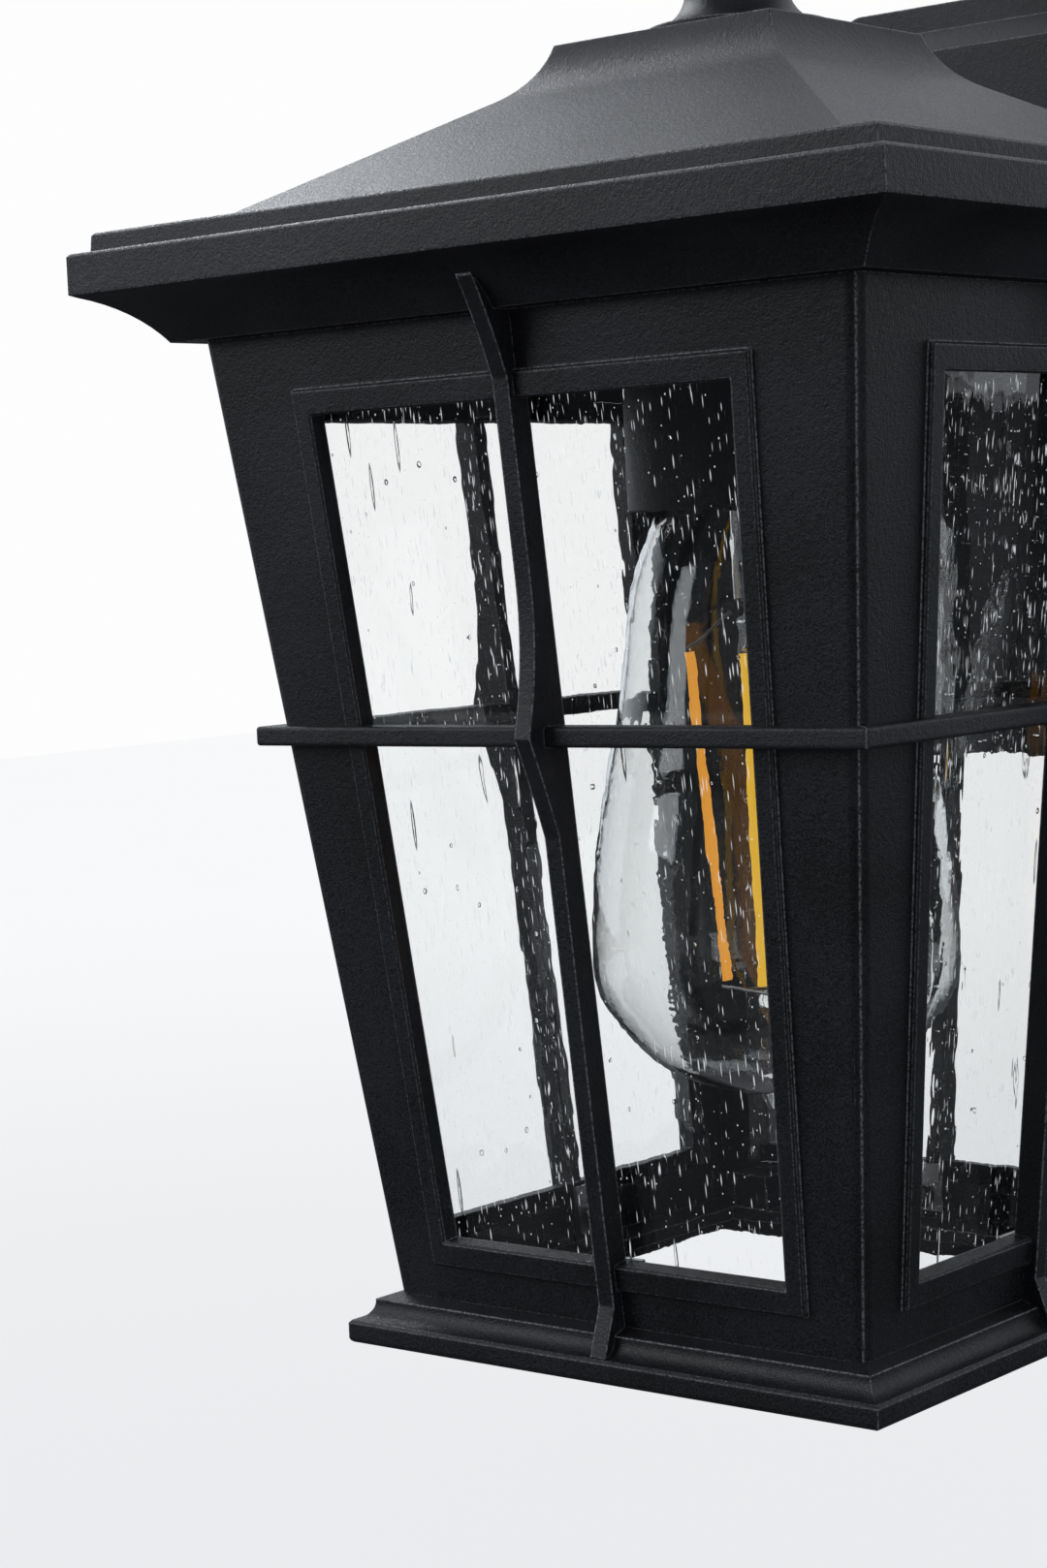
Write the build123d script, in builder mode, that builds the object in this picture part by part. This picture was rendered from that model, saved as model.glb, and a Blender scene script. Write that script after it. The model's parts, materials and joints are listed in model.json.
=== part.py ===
"""Outdoor wall light: a tapered square lantern with seeded glass, held to a wall plate by a short rear arm.

Frame: the origin is the middle of the wall plate's back, on the wall. +Z is up, the wall lies at +Y and the
front of the light looks along -Y. Heights named below are counted up from the lantern's foot, and distances
called half or reach are counted out from the lantern's upright axis.
"""

from build123d import *
from math import atan, cos, radians, sin
import os

# Place of the lantern against the wall
WALL_REACH = 138.0          # lantern axis to wall
FOOT_DROP = 172.5           # lantern foot below the middle of the wall plate

# Base moulding
BASE_STEP = 6.6             # outer face of the lower band, out from the body's foot
BASE_BAND = 4.2             # height of the lower band
BASE_ROUND = 1.1            # rounding of the lower band
BASE_WALL = 3.4             # skirt around the open bottom
SHOULDER_STEP = 3.0         # outer end of the shoulder, out from the body's foot
SHOULDER_FALL = 0.9         # fall of the shoulder from the body outwards
SHELF_THICK = 2.5           # shelf that the side frames stand on
SHELF_DEPTH = 10.0          # edge of the opening under the bulb, in from the body's foot
SKIRT_CHAMFER = 2.5         # inner slope between skirt and shelf
COVE_SAG = 0.7              # hollow of the slope between shoulder and band

# Tapered body
BODY_FOOT = 8.6             # height of the body's lower end
BODY_HEAD = 179.5           # height of the body's upper end
FOOT_HALF = 50.0            # half width at the lower end
HEAD_HALF = 68.6            # half width at the upper end
BODY_WALL = 2.5             # thickness of the side frames
CORNER_ROUND = 2.3          # rounding of the upright corners

# Windows
BEZEL_FOOT_RISE = 6.6       # bezel's lower edge, up from the body's foot
BEZEL_HEAD_DROP = 9.8       # bezel's upper edge, down from the body's head
BEZEL_FOOT_MARGIN = 10.8    # body's corner to the bezel at its lower edge
BEZEL_HEAD_MARGIN = 19.4    # and at its upper edge
BEZEL_RISE = 1.1            # how far the bezel stands proud
BEZEL_EASE = 0.4            # bevelled edge of the bezel
BEZEL_WIDTH = 3.7           # bezel face between its outer edge and the opening
BEZEL_SILL = 4.5            # bezel face above and below the opening
GLASS_THICK = 3.0
GLASS_LAP = 3.4             # glass behind the frame, on each edge

# Clips that hold the glass from inside, one over and one under each pane
CLIP_LENGTH = 9.0
CLIP_WIDTH = 7.0
CLIP_THICK = 0.8
CLIP_BOSS_R = 2.8
CLIP_BOSS_GAP = 0.5         # clip boss to glass edge
CLIP_SCREW_R = 1.2
CLIP_SCREW_LENGTH = 3.2
CLIP_HEAD_R = 2.4
CLIP_HEAD_THICK = 1.6

# Bar ring around the middle
BAR_LOW = 108.2
BAR_THICK = 3.4             # height of the bar
BAR_PROUD = 3.5             # how far the bar stands out from the body
BAR_ROUND = 0.6
TRIM_GLASS_GAP = 0.3        # bars and fins to the glass behind them

# Wavy upright fins
FIN_THICK = 3.2
FIN_PROUD = 2.5             # how far the straight stretches stand out
FIN_CREST = 7.4             # how far the crest over the bar stands out
FIN_TIP_OUT = 5.5           # tip on the cove, out from the sill's edge
FIN_TIP_RISE = 5.8          # and up from the body's head
FIN_NECK_DROP = 8.7         # a point on the edge between tip and upper kink, down from the tip
FIN_NECK_IN = 4.6           # and in from the tip
FIN_KINK_DROP = 11.1        # upper kink, down from the body's head
FIN_SWELL_RISE = 26.0       # where the upper swell leaves the straight stretch, over the crest
FIN_SWELL_MID_RISE = 11.6
FIN_SWELL_MID_PROUD = 4.0
FIN_FALL_DROP = 9.0         # a point on the edge between crest and lower kink, under the crest
FIN_FALL_PROUD = 4.6
FIN_LOW_KINK_DROP = 16.9
FIN_FOOT_KINK_RISE = 4.0    # lowest kink, over the body's foot
FIN_FOOT_STEP = 0.7         # foot on the base moulding, in from the band's face
FIN_FOOT_HEIGHT = 4.4
FIN_BITE = 1.2              # how deep the fin's blank reaches into what it stands on

# Eave ring: plain band over a cove
EAVE_SILL = 3.9             # flat underside beyond the body
COVE_MID_OUT = 4.8          # middle of the cove, out from the sill's edge
COVE_MID_RISE = 5.1         # and up from the sill
COVE_OUT = 11.1             # cove's upper end, out from the sill's edge
COVE_RISE = 8.4
BAND_STEP = 1.1             # band beyond the cove
BAND_LIP = 0.5              # height of the small lip under the band
BAND_HEIGHT = 7.1
EAVE_WALL = 3.0
EAVE_FLANGE = 11.6          # how far the eave ring reaches inside the body's outer faces
EAVE_EASE = 0.5
EAVE_PAD_DEPTH = 12.7       # solid pad behind the rear arm, in from the band's face
EAVE_PAD_HEIGHT = 11.0

# Roof casting
RIM_STEP = 3.0              # rim inside the band
RIM_BATTER = 0.2            # how far the rim leans in
RIM_HEIGHT = 3.5
RIM_LEDGE = 12.9            # flat ledge on the rim
SLOPE_RUN = 37.8
SLOPE_RISE = 20.1
SWEEP_RUN = 7.8             # hollow sweep between slope and top land
SWEEP_RISE = 9.6
SWEEP_MID_RUN = 5.0         # a point on the sweep, from the slope's head
SWEEP_MID_RISE = 4.2
ROOF_WALL = 2.6
ROOF_RECESS_STEP = 2.8      # inner edge of the rim slab, inside the slope's foot

# Finial on the roof
FINIAL_FOOT_R = 16.3
FINIAL_FOOT_THICK = 2.1
FINIAL_NECK_R = 9.1
FINIAL_SWEEP_R = 7.0
FINIAL_NECK_LENGTH = 2.5
FINIAL_BEAD_R = 11.2
FINIAL_BEAD_THICK = 3.0
FINIAL_COLLAR_R = 7.0
FINIAL_COLLAR_LENGTH = 2.0
FINIAL_KNOB_R = 9.6
FINIAL_KNOB_SQUASH = 0.78   # height of the knob over its width
FINIAL_TIP_R = 2.4
FINIAL_BORE_DEPTH = 14.0

# Socket and what hangs it from the roof
NIPPLE_R = 5.0
NIPPLE_BORE_R = 3.2
NUT_ACROSS_FLATS = 14.0
NUT_THICK = 3.0
CUP_R = 22.3
CUP_WALL = 1.0
CUP_HANG = 24.6             # top of the cup, down from the roof's inner top
CUP_LENGTH = 55.0
CUP_TOP_ROUND = 5.0
SOCKET_R = 17.0
SOCKET_SHELL_WALL = 0.5
SOCKET_SHELL_LENGTH = 28.0
SOCKET_SEAT_DEPTH = 31.0    # bore of the socket body
SOCKET_RECESS = 6.0         # socket body behind the cup's mouth
SOCKET_NIPPLE_DEPTH = 8.0
SPRING_WIDTH = 6.0
SPRING_HALF_LENGTH = 5.0
SPRING_TONGUE_HALF = 2.4    # half length of the tongue that meets the bulb
SPRING_BEND = 1.2           # run of each bend along the strip
SPRING_THICK = 0.6

# Bulb: screw cap, pear-shaped glass, stem and filaments
BULB_CAP_R = 13.0
BULB_CAP_WALL = 0.5
CAP_GAP = 0.08              # radial room of the bulb's cap in the socket shell
CAP_LIP_R = 11.0            # opening in the cap's upper end
BULB_CAP_GAP = 1.5          # cap's lower edge over the socket body's mouth
BULB_CAP_LENGTH = 22.0
BULB_BUTTON_R = 4.6
BULB_BUTTON_THICK = 2.0
INSULATOR_HEIGHT = 3.4
INSULATOR_LOW_R = 11.6
INSULATOR_HIGH_R = 6.0
GLASS_WALL = 0.8
BULB_R = 32.0               # each drop below counts down from the cap's lower edge
BULB_WIDE_DROP = 83.5
BULB_NECK_R = 12.2
BULB_NECK_LENGTH = 6.0
BULB_THROAT_R = 14.4
BULB_THROAT_DROP = 4.4
BULB_WAIST_R = 19.8
BULB_WAIST_DROP = 13.0
BULB_FLANK_R = 24.6
BULB_FLANK_DROP = 36.0
BULB_HIP_R = 30.3
BULB_HIP_DROP = 66.0
BULB_TURN_R = 31.2          # just under the widest place
BULB_TURN_DROP = 93.0
BULB_UNDER_R = 26.6
BULB_UNDER_DROP = 100.6
BULB_LOW_R = 19.9
BULB_LOW_DROP = 107.3
BULB_SOLE_R = 11.3
BULB_SOLE_DROP = 111.1
BULB_BOTTOM_DROP = 112.0
BULB_NIB_R = 3.6
BULB_NIB_TIP_R = 1.6
BULB_NIB_LENGTH = 3.8
STEM_R = 4.0
STEM_FLARE_R = 11.0
STEM_FLARE_RISE = 2.0
STEM_NECK_DROP = 7.0
STEM_LOW_DROP = 28.0
STEM_ROD_R = 1.2
STEM_ROD_LOW_DROP = 96.5
STEM_KNOB_R = 2.4
FILAMENT_COUNT = 4
FILAMENT_R = 0.95
FILAMENT_HIGH_DROP = 33.0
FILAMENT_LOW_DROP = 92.5
FILAMENT_HIGH_REACH = 12.7
FILAMENT_LOW_REACH = 8.2
FILAMENT_TURN = 25.0        # angle of the first filament about the axis
WIRE_R = 0.35
WIRE_GAP = 0.3              # wires to the stem and to the filament ends
WIRE_RING_R = 2.1           # ring around the stem rod
WIRE_ROOT_RISE = 7.0        # where the upper wires leave the stem, over the filament ends
WIRE_OVERHANG = 2.0         # lower wire beyond the filament

# Wall plate and its mounting
PLATE_HALF_WIDTH = 60.0
PLATE_HALF_HEIGHT = 80.0
PLATE_CORNER_R = 5.0
PLATE_BORDER = 5.5          # flat border around the raised field
PLATE_BORDER_DEPTH = 15.0   # wall to the border's face
PLATE_DEPTH = 20.0          # wall to the raised field's face
PLATE_BEVEL = 5.0           # sloping edge of the raised field
PLATE_WALL = 2.5
GASKET_THICK = 2.0
GASKET_WIDTH = 7.0
GASKET_INSET = 0.5          # gasket inside the plate's outline
STUD_REACH = 38.0           # studs left and right of the middle
STUD_R = 2.0
STUD_OUT = 26.0             # wall to the stud's outer end
STUD_COLLAR_R = 3.8
STUD_COLLAR_THICK = 2.0
FIT_GAP = 0.1               # radial room of screws and studs in plain holes
CAP_NUT_R = 6.5
CAP_NUT_FLANGE_R = 7.5
CAP_NUT_FLANGE_THICK = 1.6
CAP_NUT_NECK = 1.6
CAP_NUT_TIP_GAP = 0.5       # stud end to the bottom of the nut's bore
BRACKET_THICK = 1.6
BRACKET_WIDTH = 17.0
BRACKET_HALF_HEIGHT = 52.0
BRACKET_HALF_WIDTH = 46.0
SLOT_REACH = 39.5           # box slots above and below the middle
SLOT_LENGTH = 16.0
SLOT_R = 2.5
GROUND_REACH = 22.0
GROUND_R = 2.0
GROUND_HEAD_R = 4.2
GROUND_HEAD_THICK = 1.8

# Rear arm
ARM_DROP = 5.5              # arm's underside, down from the body's head
ARM_TOP_DROP = 0.5          # arm's top, down from the band's top
ARM_HALF_WIDTH = 14.0
ARM_ROUND = 5.0
ARM_FLANGE_THICK = 3.5
ARM_FLANGE_MARGIN = 4.5     # flange beyond the arm's section, all round
ARM_FLANGE_ROUND = 7.0
ARM_COLLAR = 2.5            # sloping collar between flange and arm
ARM_BORE_DROP = 8.0         # middle of the wire passage, down from the band's top
ARM_BORE_R = 4.0            # wire passage
ARM_SCREW_REACH = 9.0       # screws left and right of the passage
ARM_SCREW_R = 1.9
ARM_SCREW_GRIP = 8.0        # how far a screw reaches into the arm
ARM_HEAD_R = 3.6
ARM_HEAD_THICK = 2.2

# Screws inside the lantern
HEX_SIDES = 6
SHANK_SIDES = 8             # small shanks and their holes stay eight-sided to keep few faces
SCREW_R = 1.45
SCREW_HEAD_R = 2.7
SCREW_HEAD_THICK = 1.7
BOSS_SIDE = 8.0             # square bosses inside the side frames
BOSS_TIP = 0.6              # screw tip to the end of its hole
LOW_BOSS_HEIGHT = 6.4
LOW_BOSS_DEPTH = 5.5        # middle of the bosses at the foot, in from the body's outer face
LOW_BOSS_END = 14.0         # and in from the side's end
HIGH_BOSS_HEIGHT = 9.0
HIGH_BOSS_DEPTH = 6.1       # middle of the bosses at the head, in from the body's outer face
HIGH_BOSS_END = 14.6        # and in from the side's end
HIGH_SCREW_GRIP = 7.0
ROOF_POST_INSET = 6.1       # middle of the posts under the roof, inside the body's corner
ROOF_POST_SIDE = 7.0
ROOF_SCREW_GRIP = 8.0

# Derived values
SIDES = {"front": -90.0, "right": 0.0, "back": 90.0, "left": 180.0}
AXIS = Axis((0, -WALL_REACH, 0), (0, 0, 1))
COVE_LOW_HALF = HEAD_HALF + EAVE_SILL
COVE_HIGH_HALF = COVE_LOW_HALF + COVE_OUT
COVE_TOP = BODY_HEAD + COVE_RISE
EAVE_HALF = COVE_HIGH_HALF + BAND_STEP
EAVE_LOW = COVE_TOP + BAND_LIP
EAVE_TOP = EAVE_LOW + BAND_HEIGHT
EAVE_OPENING_HALF = HEAD_HALF - EAVE_FLANGE
EAVE_PAD_HALF = EAVE_HALF - EAVE_PAD_DEPTH
SPAN = 4 * EAVE_HALF
FLARE = (HEAD_HALF - FOOT_HALF) / (BODY_HEAD - BODY_FOOT)
BASE_HALF = FOOT_HALF + BASE_STEP
SHOULDER_HALF = FOOT_HALF + SHOULDER_STEP
SHELF_OPENING_HALF = FOOT_HALF - SHELF_DEPTH
BEZEL_LOW = BODY_FOOT + BEZEL_FOOT_RISE
BEZEL_HIGH = BODY_HEAD - BEZEL_HEAD_DROP
BEZEL_LOW_HALF = FOOT_HALF + FLARE * BEZEL_FOOT_RISE - BEZEL_FOOT_MARGIN
BEZEL_HIGH_HALF = HEAD_HALF - FLARE * BEZEL_HEAD_DROP - BEZEL_HEAD_MARGIN
TILT = atan(FLARE)
INSET = BODY_WALL / cos(TILT)
BAR_HIGH = BAR_LOW + BAR_THICK
OPENING_LOW = BEZEL_LOW + BEZEL_SILL
OPENING_HIGH = BEZEL_HIGH - BEZEL_SILL
BEZEL_SLANT = (BEZEL_HIGH_HALF - BEZEL_LOW_HALF) / (BEZEL_HIGH - BEZEL_LOW)
SHELF_LOW = BODY_FOOT - SHELF_THICK
FLANGE_TOP = BODY_HEAD + EAVE_WALL
RIM_HALF = EAVE_HALF - RIM_STEP
RIM_TOP = EAVE_TOP + RIM_HEIGHT
SLOPE_FOOT_HALF = RIM_HALF - RIM_LEDGE
SLOPE_HEAD_HALF = SLOPE_FOOT_HALF - SLOPE_RUN
SLOPE_HEAD_HEIGHT = RIM_TOP + SLOPE_RISE
SWEEP_MID_HALF = SLOPE_HEAD_HALF - SWEEP_MID_RUN
SWEEP_MID_HEIGHT = SLOPE_HEAD_HEIGHT + SWEEP_MID_RISE
TOP_HALF = SLOPE_HEAD_HALF - SWEEP_RUN
TOP_HEIGHT = SLOPE_HEAD_HEIGHT + SWEEP_RISE
ROOF_RECESS_HALF = SLOPE_FOOT_HALF - ROOF_RECESS_STEP
ROOF_POST_REACH = HEAD_HALF - ROOF_POST_INSET
ROOF_PITCH = SLOPE_RISE / SLOPE_RUN
ROOF_DROP = ROOF_WALL / cos(atan(ROOF_PITCH))
ROOF_INNER_TOP = TOP_HEIGHT - ROOF_WALL
NECK_LOW = TOP_HEIGHT + FINIAL_FOOT_THICK + FINIAL_SWEEP_R
BEAD_LOW = NECK_LOW + FINIAL_NECK_LENGTH
COLLAR_LOW = BEAD_LOW + FINIAL_BEAD_THICK
KNOB_HALF_HEIGHT = FINIAL_KNOB_R * FINIAL_KNOB_SQUASH
KNOB_MIDDLE = COLLAR_LOW + FINIAL_COLLAR_LENGTH + KNOB_HALF_HEIGHT * FINIAL_KNOB_SQUASH
CUP_TOP = ROOF_INNER_TOP - CUP_HANG
CUP_MOUTH = CUP_TOP - CUP_LENGTH
SOCKET_LOW = CUP_MOUTH + SOCKET_RECESS
SOCKET_HIGH = CUP_TOP - CUP_WALL
SOCKET_SEAT = SOCKET_LOW + SOCKET_SEAT_DEPTH
SHELL_INNER_R = BULB_CAP_R + CAP_GAP
SHELL_OUTER_R = SHELL_INNER_R + SOCKET_SHELL_WALL
BULB_CAP_LOW = SOCKET_LOW + BULB_CAP_GAP
BULB_BOTTOM_HEIGHT = BULB_CAP_LOW - BULB_BOTTOM_DROP
STEM_NECK_HEIGHT = BULB_CAP_LOW - STEM_NECK_DROP
STEM_LOW = BULB_CAP_LOW - STEM_LOW_DROP
STEM_ROD_LOW = BULB_CAP_LOW - STEM_ROD_LOW_DROP
FILAMENT_HIGH = BULB_CAP_LOW - FILAMENT_HIGH_DROP
FILAMENT_LOW = BULB_CAP_LOW - FILAMENT_LOW_DROP
STEM_FLARE_HEIGHT = BULB_CAP_LOW + STEM_FLARE_RISE
BULB_CAP_HIGH = BULB_CAP_LOW + BULB_CAP_LENGTH
BUTTON_LOW = BULB_CAP_HIGH + INSULATOR_HEIGHT
BULB_TIP = BUTTON_LOW + BULB_BUTTON_THICK
NIPPLE_LOW = SOCKET_HIGH - SOCKET_NIPPLE_DEPTH
NIPPLE_HIGH = TOP_HEIGHT + FINIAL_BORE_DEPTH - BOSS_TIP
ARM_LOW = BODY_HEAD - ARM_DROP
ARM_HIGH = EAVE_TOP - ARM_TOP_DROP
ARM_BORE_HEIGHT = EAVE_TOP - ARM_BORE_DROP
ARM_HEIGHT = (ARM_LOW + ARM_HIGH) / 2
LOW_BOSS = (FOOT_HALF - LOW_BOSS_DEPTH, FOOT_HALF - LOW_BOSS_END)
HIGH_BOSS = (HEAD_HALF - HIGH_BOSS_DEPTH, HEAD_HALF - HIGH_BOSS_END)
ARM_OUT = WALL_REACH - PLATE_DEPTH
STUDS = ((-STUD_REACH, 0), (STUD_REACH, 0))
ARM_SCREWS = [(along, ARM_BORE_HEIGHT - FOOT_DROP) for along in (-ARM_SCREW_REACH, ARM_SCREW_REACH)]
FILAMENT_ANGLES = [FILAMENT_TURN + step * 360 / FILAMENT_COUNT for step in range(FILAMENT_COUNT)]

os.makedirs("parts", exist_ok=True)


def finish(piece, label):
    """Name a finished piece and write its file."""
    piece.part.label = label
    export_step(piece.part, f"parts/{label}.step")


def half_at(height):
    """Half width of the body's outer face at a height over the foot."""
    return FOOT_HALF + FLARE * (height - BODY_FOOT)


def proud_of_body(height, amount):
    """Point in a section, this far out from the body's outer face."""
    return (half_at(height) + amount, height)


def out_of(angle):
    """Unit vector out from the axis through the side at this angle."""
    return Vector(cos(radians(angle)), sin(radians(angle)), 0)


def at(reach, angle, height):
    """Point this far out from the axis at an angle and a height over the foot."""
    return Vector(0, -WALL_REACH, height - FOOT_DROP) + out_of(angle) * reach


def furthest_out(edge):
    """How far out from the axis an edge's middle lies, measured square to the sides."""
    middle = edge.center()
    return max(abs(middle.X), abs(middle.Y + WALL_REACH))


def plan(height, angle=0.0):
    """Horizontal plane over the foot, with x out through the side at this angle."""
    return Plane(origin=at(0, angle, height), x_dir=out_of(angle), z_dir=(0, 0, 1))


def section(angle):
    """Upright plane through the axis: x out through the side at this angle, y up from the foot."""
    return Plane(origin=at(0, angle, 0), x_dir=out_of(angle), z_dir=out_of(angle - 90))


def face(angle, depth=0.0):
    """Plane on a side's sloping outer face, or behind it by depth: y up the slope from the body's foot."""
    normal = out_of(angle) * cos(TILT) - Vector(0, 0, 1) * sin(TILT)
    origin = at(FOOT_HALF, angle, BODY_FOOT) - normal * depth
    return Plane(origin=origin, x_dir=out_of(angle + 90), z_dir=normal)


def up_slope(height):
    """Distance up the sloping face from the body's foot to a height over the lantern's foot."""
    return (height - BODY_FOOT) / cos(TILT)


CLIP_STEP = CLIP_BOSS_GAP + CLIP_BOSS_R
CLIP_PLACES = ((0, up_slope(OPENING_LOW - GLASS_LAP) - CLIP_STEP),
               (0, up_slope(OPENING_HIGH + GLASS_LAP) + CLIP_STEP))


def from_wall(depth):
    """Plane parallel to the wall, this far out from it: x along the wall, y up."""
    return Plane(origin=(0, -depth, 0), x_dir=(1, 0, 0), z_dir=(0, -1, 0))


def four_sided(outline):
    """Solid with the same half outline on all four sides and mitred corners."""
    with BuildPart() as solid:
        for angle, mode in ((SIDES["front"], Mode.ADD), (SIDES["right"], Mode.INTERSECT)):
            with BuildSketch(section(angle)):
                with BuildLine():
                    outline()
                make_face()
                mirror(about=Plane.YZ)
            extrude(amount=SPAN, both=True, mode=mode)
    return solid.part


def tapered_square(inset, low, high):
    """Tapered square solid between two heights, this far inside the body's outer faces."""
    with BuildPart() as solid:
        for height in (low, high):
            half = half_at(height) - inset
            with BuildSketch(plan(height)):
                Rectangle(2 * half, 2 * half)
        loft(ruled=True)
    return solid.part


def window(low, high, margin):
    """Corners of a window outline on a side's face, this far inside the bezel's outer edge."""
    low_half = BEZEL_LOW_HALF + BEZEL_SLANT * (low - BEZEL_LOW) - margin
    high_half = BEZEL_LOW_HALF + BEZEL_SLANT * (high - BEZEL_LOW) - margin
    return [(-low_half, up_slope(low)), (low_half, up_slope(low)),
            (high_half, up_slope(high)), (-high_half, up_slope(high))]


def screws(plane, places, head, shank_r, length):
    """Hexagon-headed screws whose heads stand on the plane and whose shanks run down behind it."""
    with BuildSketch(plane) as heads:
        with Locations(*places):
            RegularPolygon(head[0], HEX_SIDES)
    extrude(heads.sketch, amount=head[1])
    with BuildSketch(plane) as shanks:
        with Locations(*places):
            RegularPolygon(shank_r, SHANK_SIDES)
    extrude(shanks.sketch, amount=-length)


def screw_holes(plane, places, radius, depth):
    """Holes for the screws' shanks that run down behind the plane."""
    with BuildSketch(plane) as outline:
        with Locations(*places):
            RegularPolygon(radius, SHANK_SIDES)
    extrude(outline.sketch, amount=-depth, mode=Mode.SUBTRACT)


def holes(plane, places, radius, depth):
    """Round holes that run down behind the plane."""
    with BuildSketch(plane) as outline:
        with Locations(*places):
            Circle(radius)
    extrude(outline.sketch, amount=-depth, mode=Mode.SUBTRACT)


# Eave ring
def eave_outline():
    """Half outline of the plain band over the cove."""
    cove = ((COVE_LOW_HALF, BODY_HEAD), (COVE_LOW_HALF + COVE_MID_OUT, BODY_HEAD + COVE_MID_RISE),
            (COVE_HIGH_HALF, COVE_TOP))
    Line((0, BODY_HEAD), cove[0])
    ThreePointArc(*cove)
    Polyline(cove[2], (EAVE_HALF, EAVE_LOW), (EAVE_HALF, EAVE_TOP - EAVE_EASE),
             (EAVE_HALF - EAVE_EASE, EAVE_TOP), (0, EAVE_TOP), (0, BODY_HEAD))


def eave_hollow():
    """Half outline of the room inside the eave ring."""
    Polyline((0, BODY_HEAD), (EAVE_OPENING_HALF, BODY_HEAD), (EAVE_OPENING_HALF, FLANGE_TOP),
             (COVE_LOW_HALF - EAVE_WALL / 2, FLANGE_TOP), (EAVE_HALF - EAVE_WALL, EAVE_LOW + EAVE_WALL),
             (EAVE_HALF - EAVE_WALL, EAVE_TOP), (0, EAVE_TOP), (0, BODY_HEAD))


eave_blank = four_sided(eave_outline)
eave_room = four_sided(eave_hollow)

with BuildPart() as eave_void:
    add(eave_room)
    with BuildSketch(plan(FLANGE_TOP, SIDES["back"])):
        with Locations(((EAVE_PAD_HALF + EAVE_HALF) / 2, 0)):
            Rectangle(EAVE_HALF - EAVE_PAD_HALF, 2 * ARM_HALF_WIDTH)
    extrude(amount=EAVE_PAD_HEIGHT, mode=Mode.SUBTRACT)

with BuildPart() as eave_ring:
    add(eave_blank)
    add(eave_void.part, mode=Mode.SUBTRACT)
    for side_angle in SIDES.values():
        screw_holes(plan(FLANGE_TOP, side_angle), (HIGH_BOSS, (ROOF_POST_REACH, ROOF_POST_REACH)),
                    SCREW_R + FIT_GAP, EAVE_WALL)
    screw_holes(from_wall(WALL_REACH), ARM_SCREWS, ARM_SCREW_R + FIT_GAP, WALL_REACH)
    holes(from_wall(WALL_REACH), ((0, ARM_BORE_HEIGHT - FOOT_DROP),), ARM_BORE_R, WALL_REACH)
finish(eave_ring, "eave_ring")


# Roof casting
def roof_outline():
    """Half outline of the flat rim, the straight slope and the hollow sweep up to the top land."""
    rim_edge = RIM_HALF - RIM_BATTER
    Polyline((0, EAVE_TOP), (RIM_HALF, EAVE_TOP), (rim_edge, RIM_TOP - EAVE_EASE),
             (rim_edge - EAVE_EASE, RIM_TOP), (SLOPE_FOOT_HALF, RIM_TOP),
             (SLOPE_HEAD_HALF, SLOPE_HEAD_HEIGHT))
    ThreePointArc((SLOPE_HEAD_HALF, SLOPE_HEAD_HEIGHT), (SWEEP_MID_HALF, SWEEP_MID_HEIGHT),
                  (TOP_HALF, TOP_HEIGHT))
    Polyline((TOP_HALF, TOP_HEIGHT), (0, TOP_HEIGHT), (0, EAVE_TOP))


def roof_hollow():
    """Half outline of the room under the roof, one wall thickness inside its top."""
    foot_height = RIM_TOP + ROOF_PITCH * (SLOPE_FOOT_HALF - ROOF_RECESS_HALF) - ROOF_DROP
    inner_head = (SLOPE_HEAD_HALF, SLOPE_HEAD_HEIGHT - ROOF_DROP)
    diagonal = ROOF_WALL * sin(radians(45))
    Polyline((0, EAVE_TOP), (ROOF_RECESS_HALF, EAVE_TOP), (ROOF_RECESS_HALF, foot_height), inner_head)
    ThreePointArc(inner_head, (SWEEP_MID_HALF - diagonal, SWEEP_MID_HEIGHT - diagonal),
                  (TOP_HALF - ROOF_WALL, ROOF_INNER_TOP))
    Polyline((TOP_HALF - ROOF_WALL, ROOF_INNER_TOP), (0, ROOF_INNER_TOP), (0, EAVE_TOP))


roof_blank = four_sided(roof_outline)
roof_room = four_sided(roof_hollow)

with BuildPart() as roof_void:
    add(roof_room)
    with BuildSketch(plan(EAVE_TOP)):
        with GridLocations(2 * ROOF_POST_REACH, 2 * ROOF_POST_REACH, 2, 2):
            Rectangle(ROOF_POST_SIDE, ROOF_POST_SIDE)
    extrude(amount=ROOF_INNER_TOP - EAVE_TOP, mode=Mode.SUBTRACT)

with BuildPart() as roof:
    add(roof_blank)
    add(roof_void.part, mode=Mode.SUBTRACT)
    with BuildSketch(plan(EAVE_TOP)):
        with GridLocations(2 * ROOF_POST_REACH, 2 * ROOF_POST_REACH, 2, 2):
            Rectangle(ROOF_POST_SIDE, ROOF_POST_SIDE)
    extrude(amount=FLANGE_TOP - EAVE_TOP)
    for side_angle in SIDES.values():
        screw_holes(plan(FLANGE_TOP, side_angle), ((ROOF_POST_REACH, ROOF_POST_REACH),), SCREW_R + FIT_GAP,
                    -ROOF_SCREW_GRIP - BOSS_TIP)
    holes(plan(TOP_HEIGHT), ((0, 0),), NIPPLE_R + FIT_GAP, ROOF_WALL)
finish(roof, "roof")

with BuildPart() as roof_screws:
    for side_angle in SIDES.values():
        screws(plan(BODY_HEAD, side_angle), ((ROOF_POST_REACH, ROOF_POST_REACH),),
               (SCREW_HEAD_R, -SCREW_HEAD_THICK), SCREW_R, -EAVE_WALL - ROOF_SCREW_GRIP)
finish(roof_screws, "roof_screws")

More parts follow.
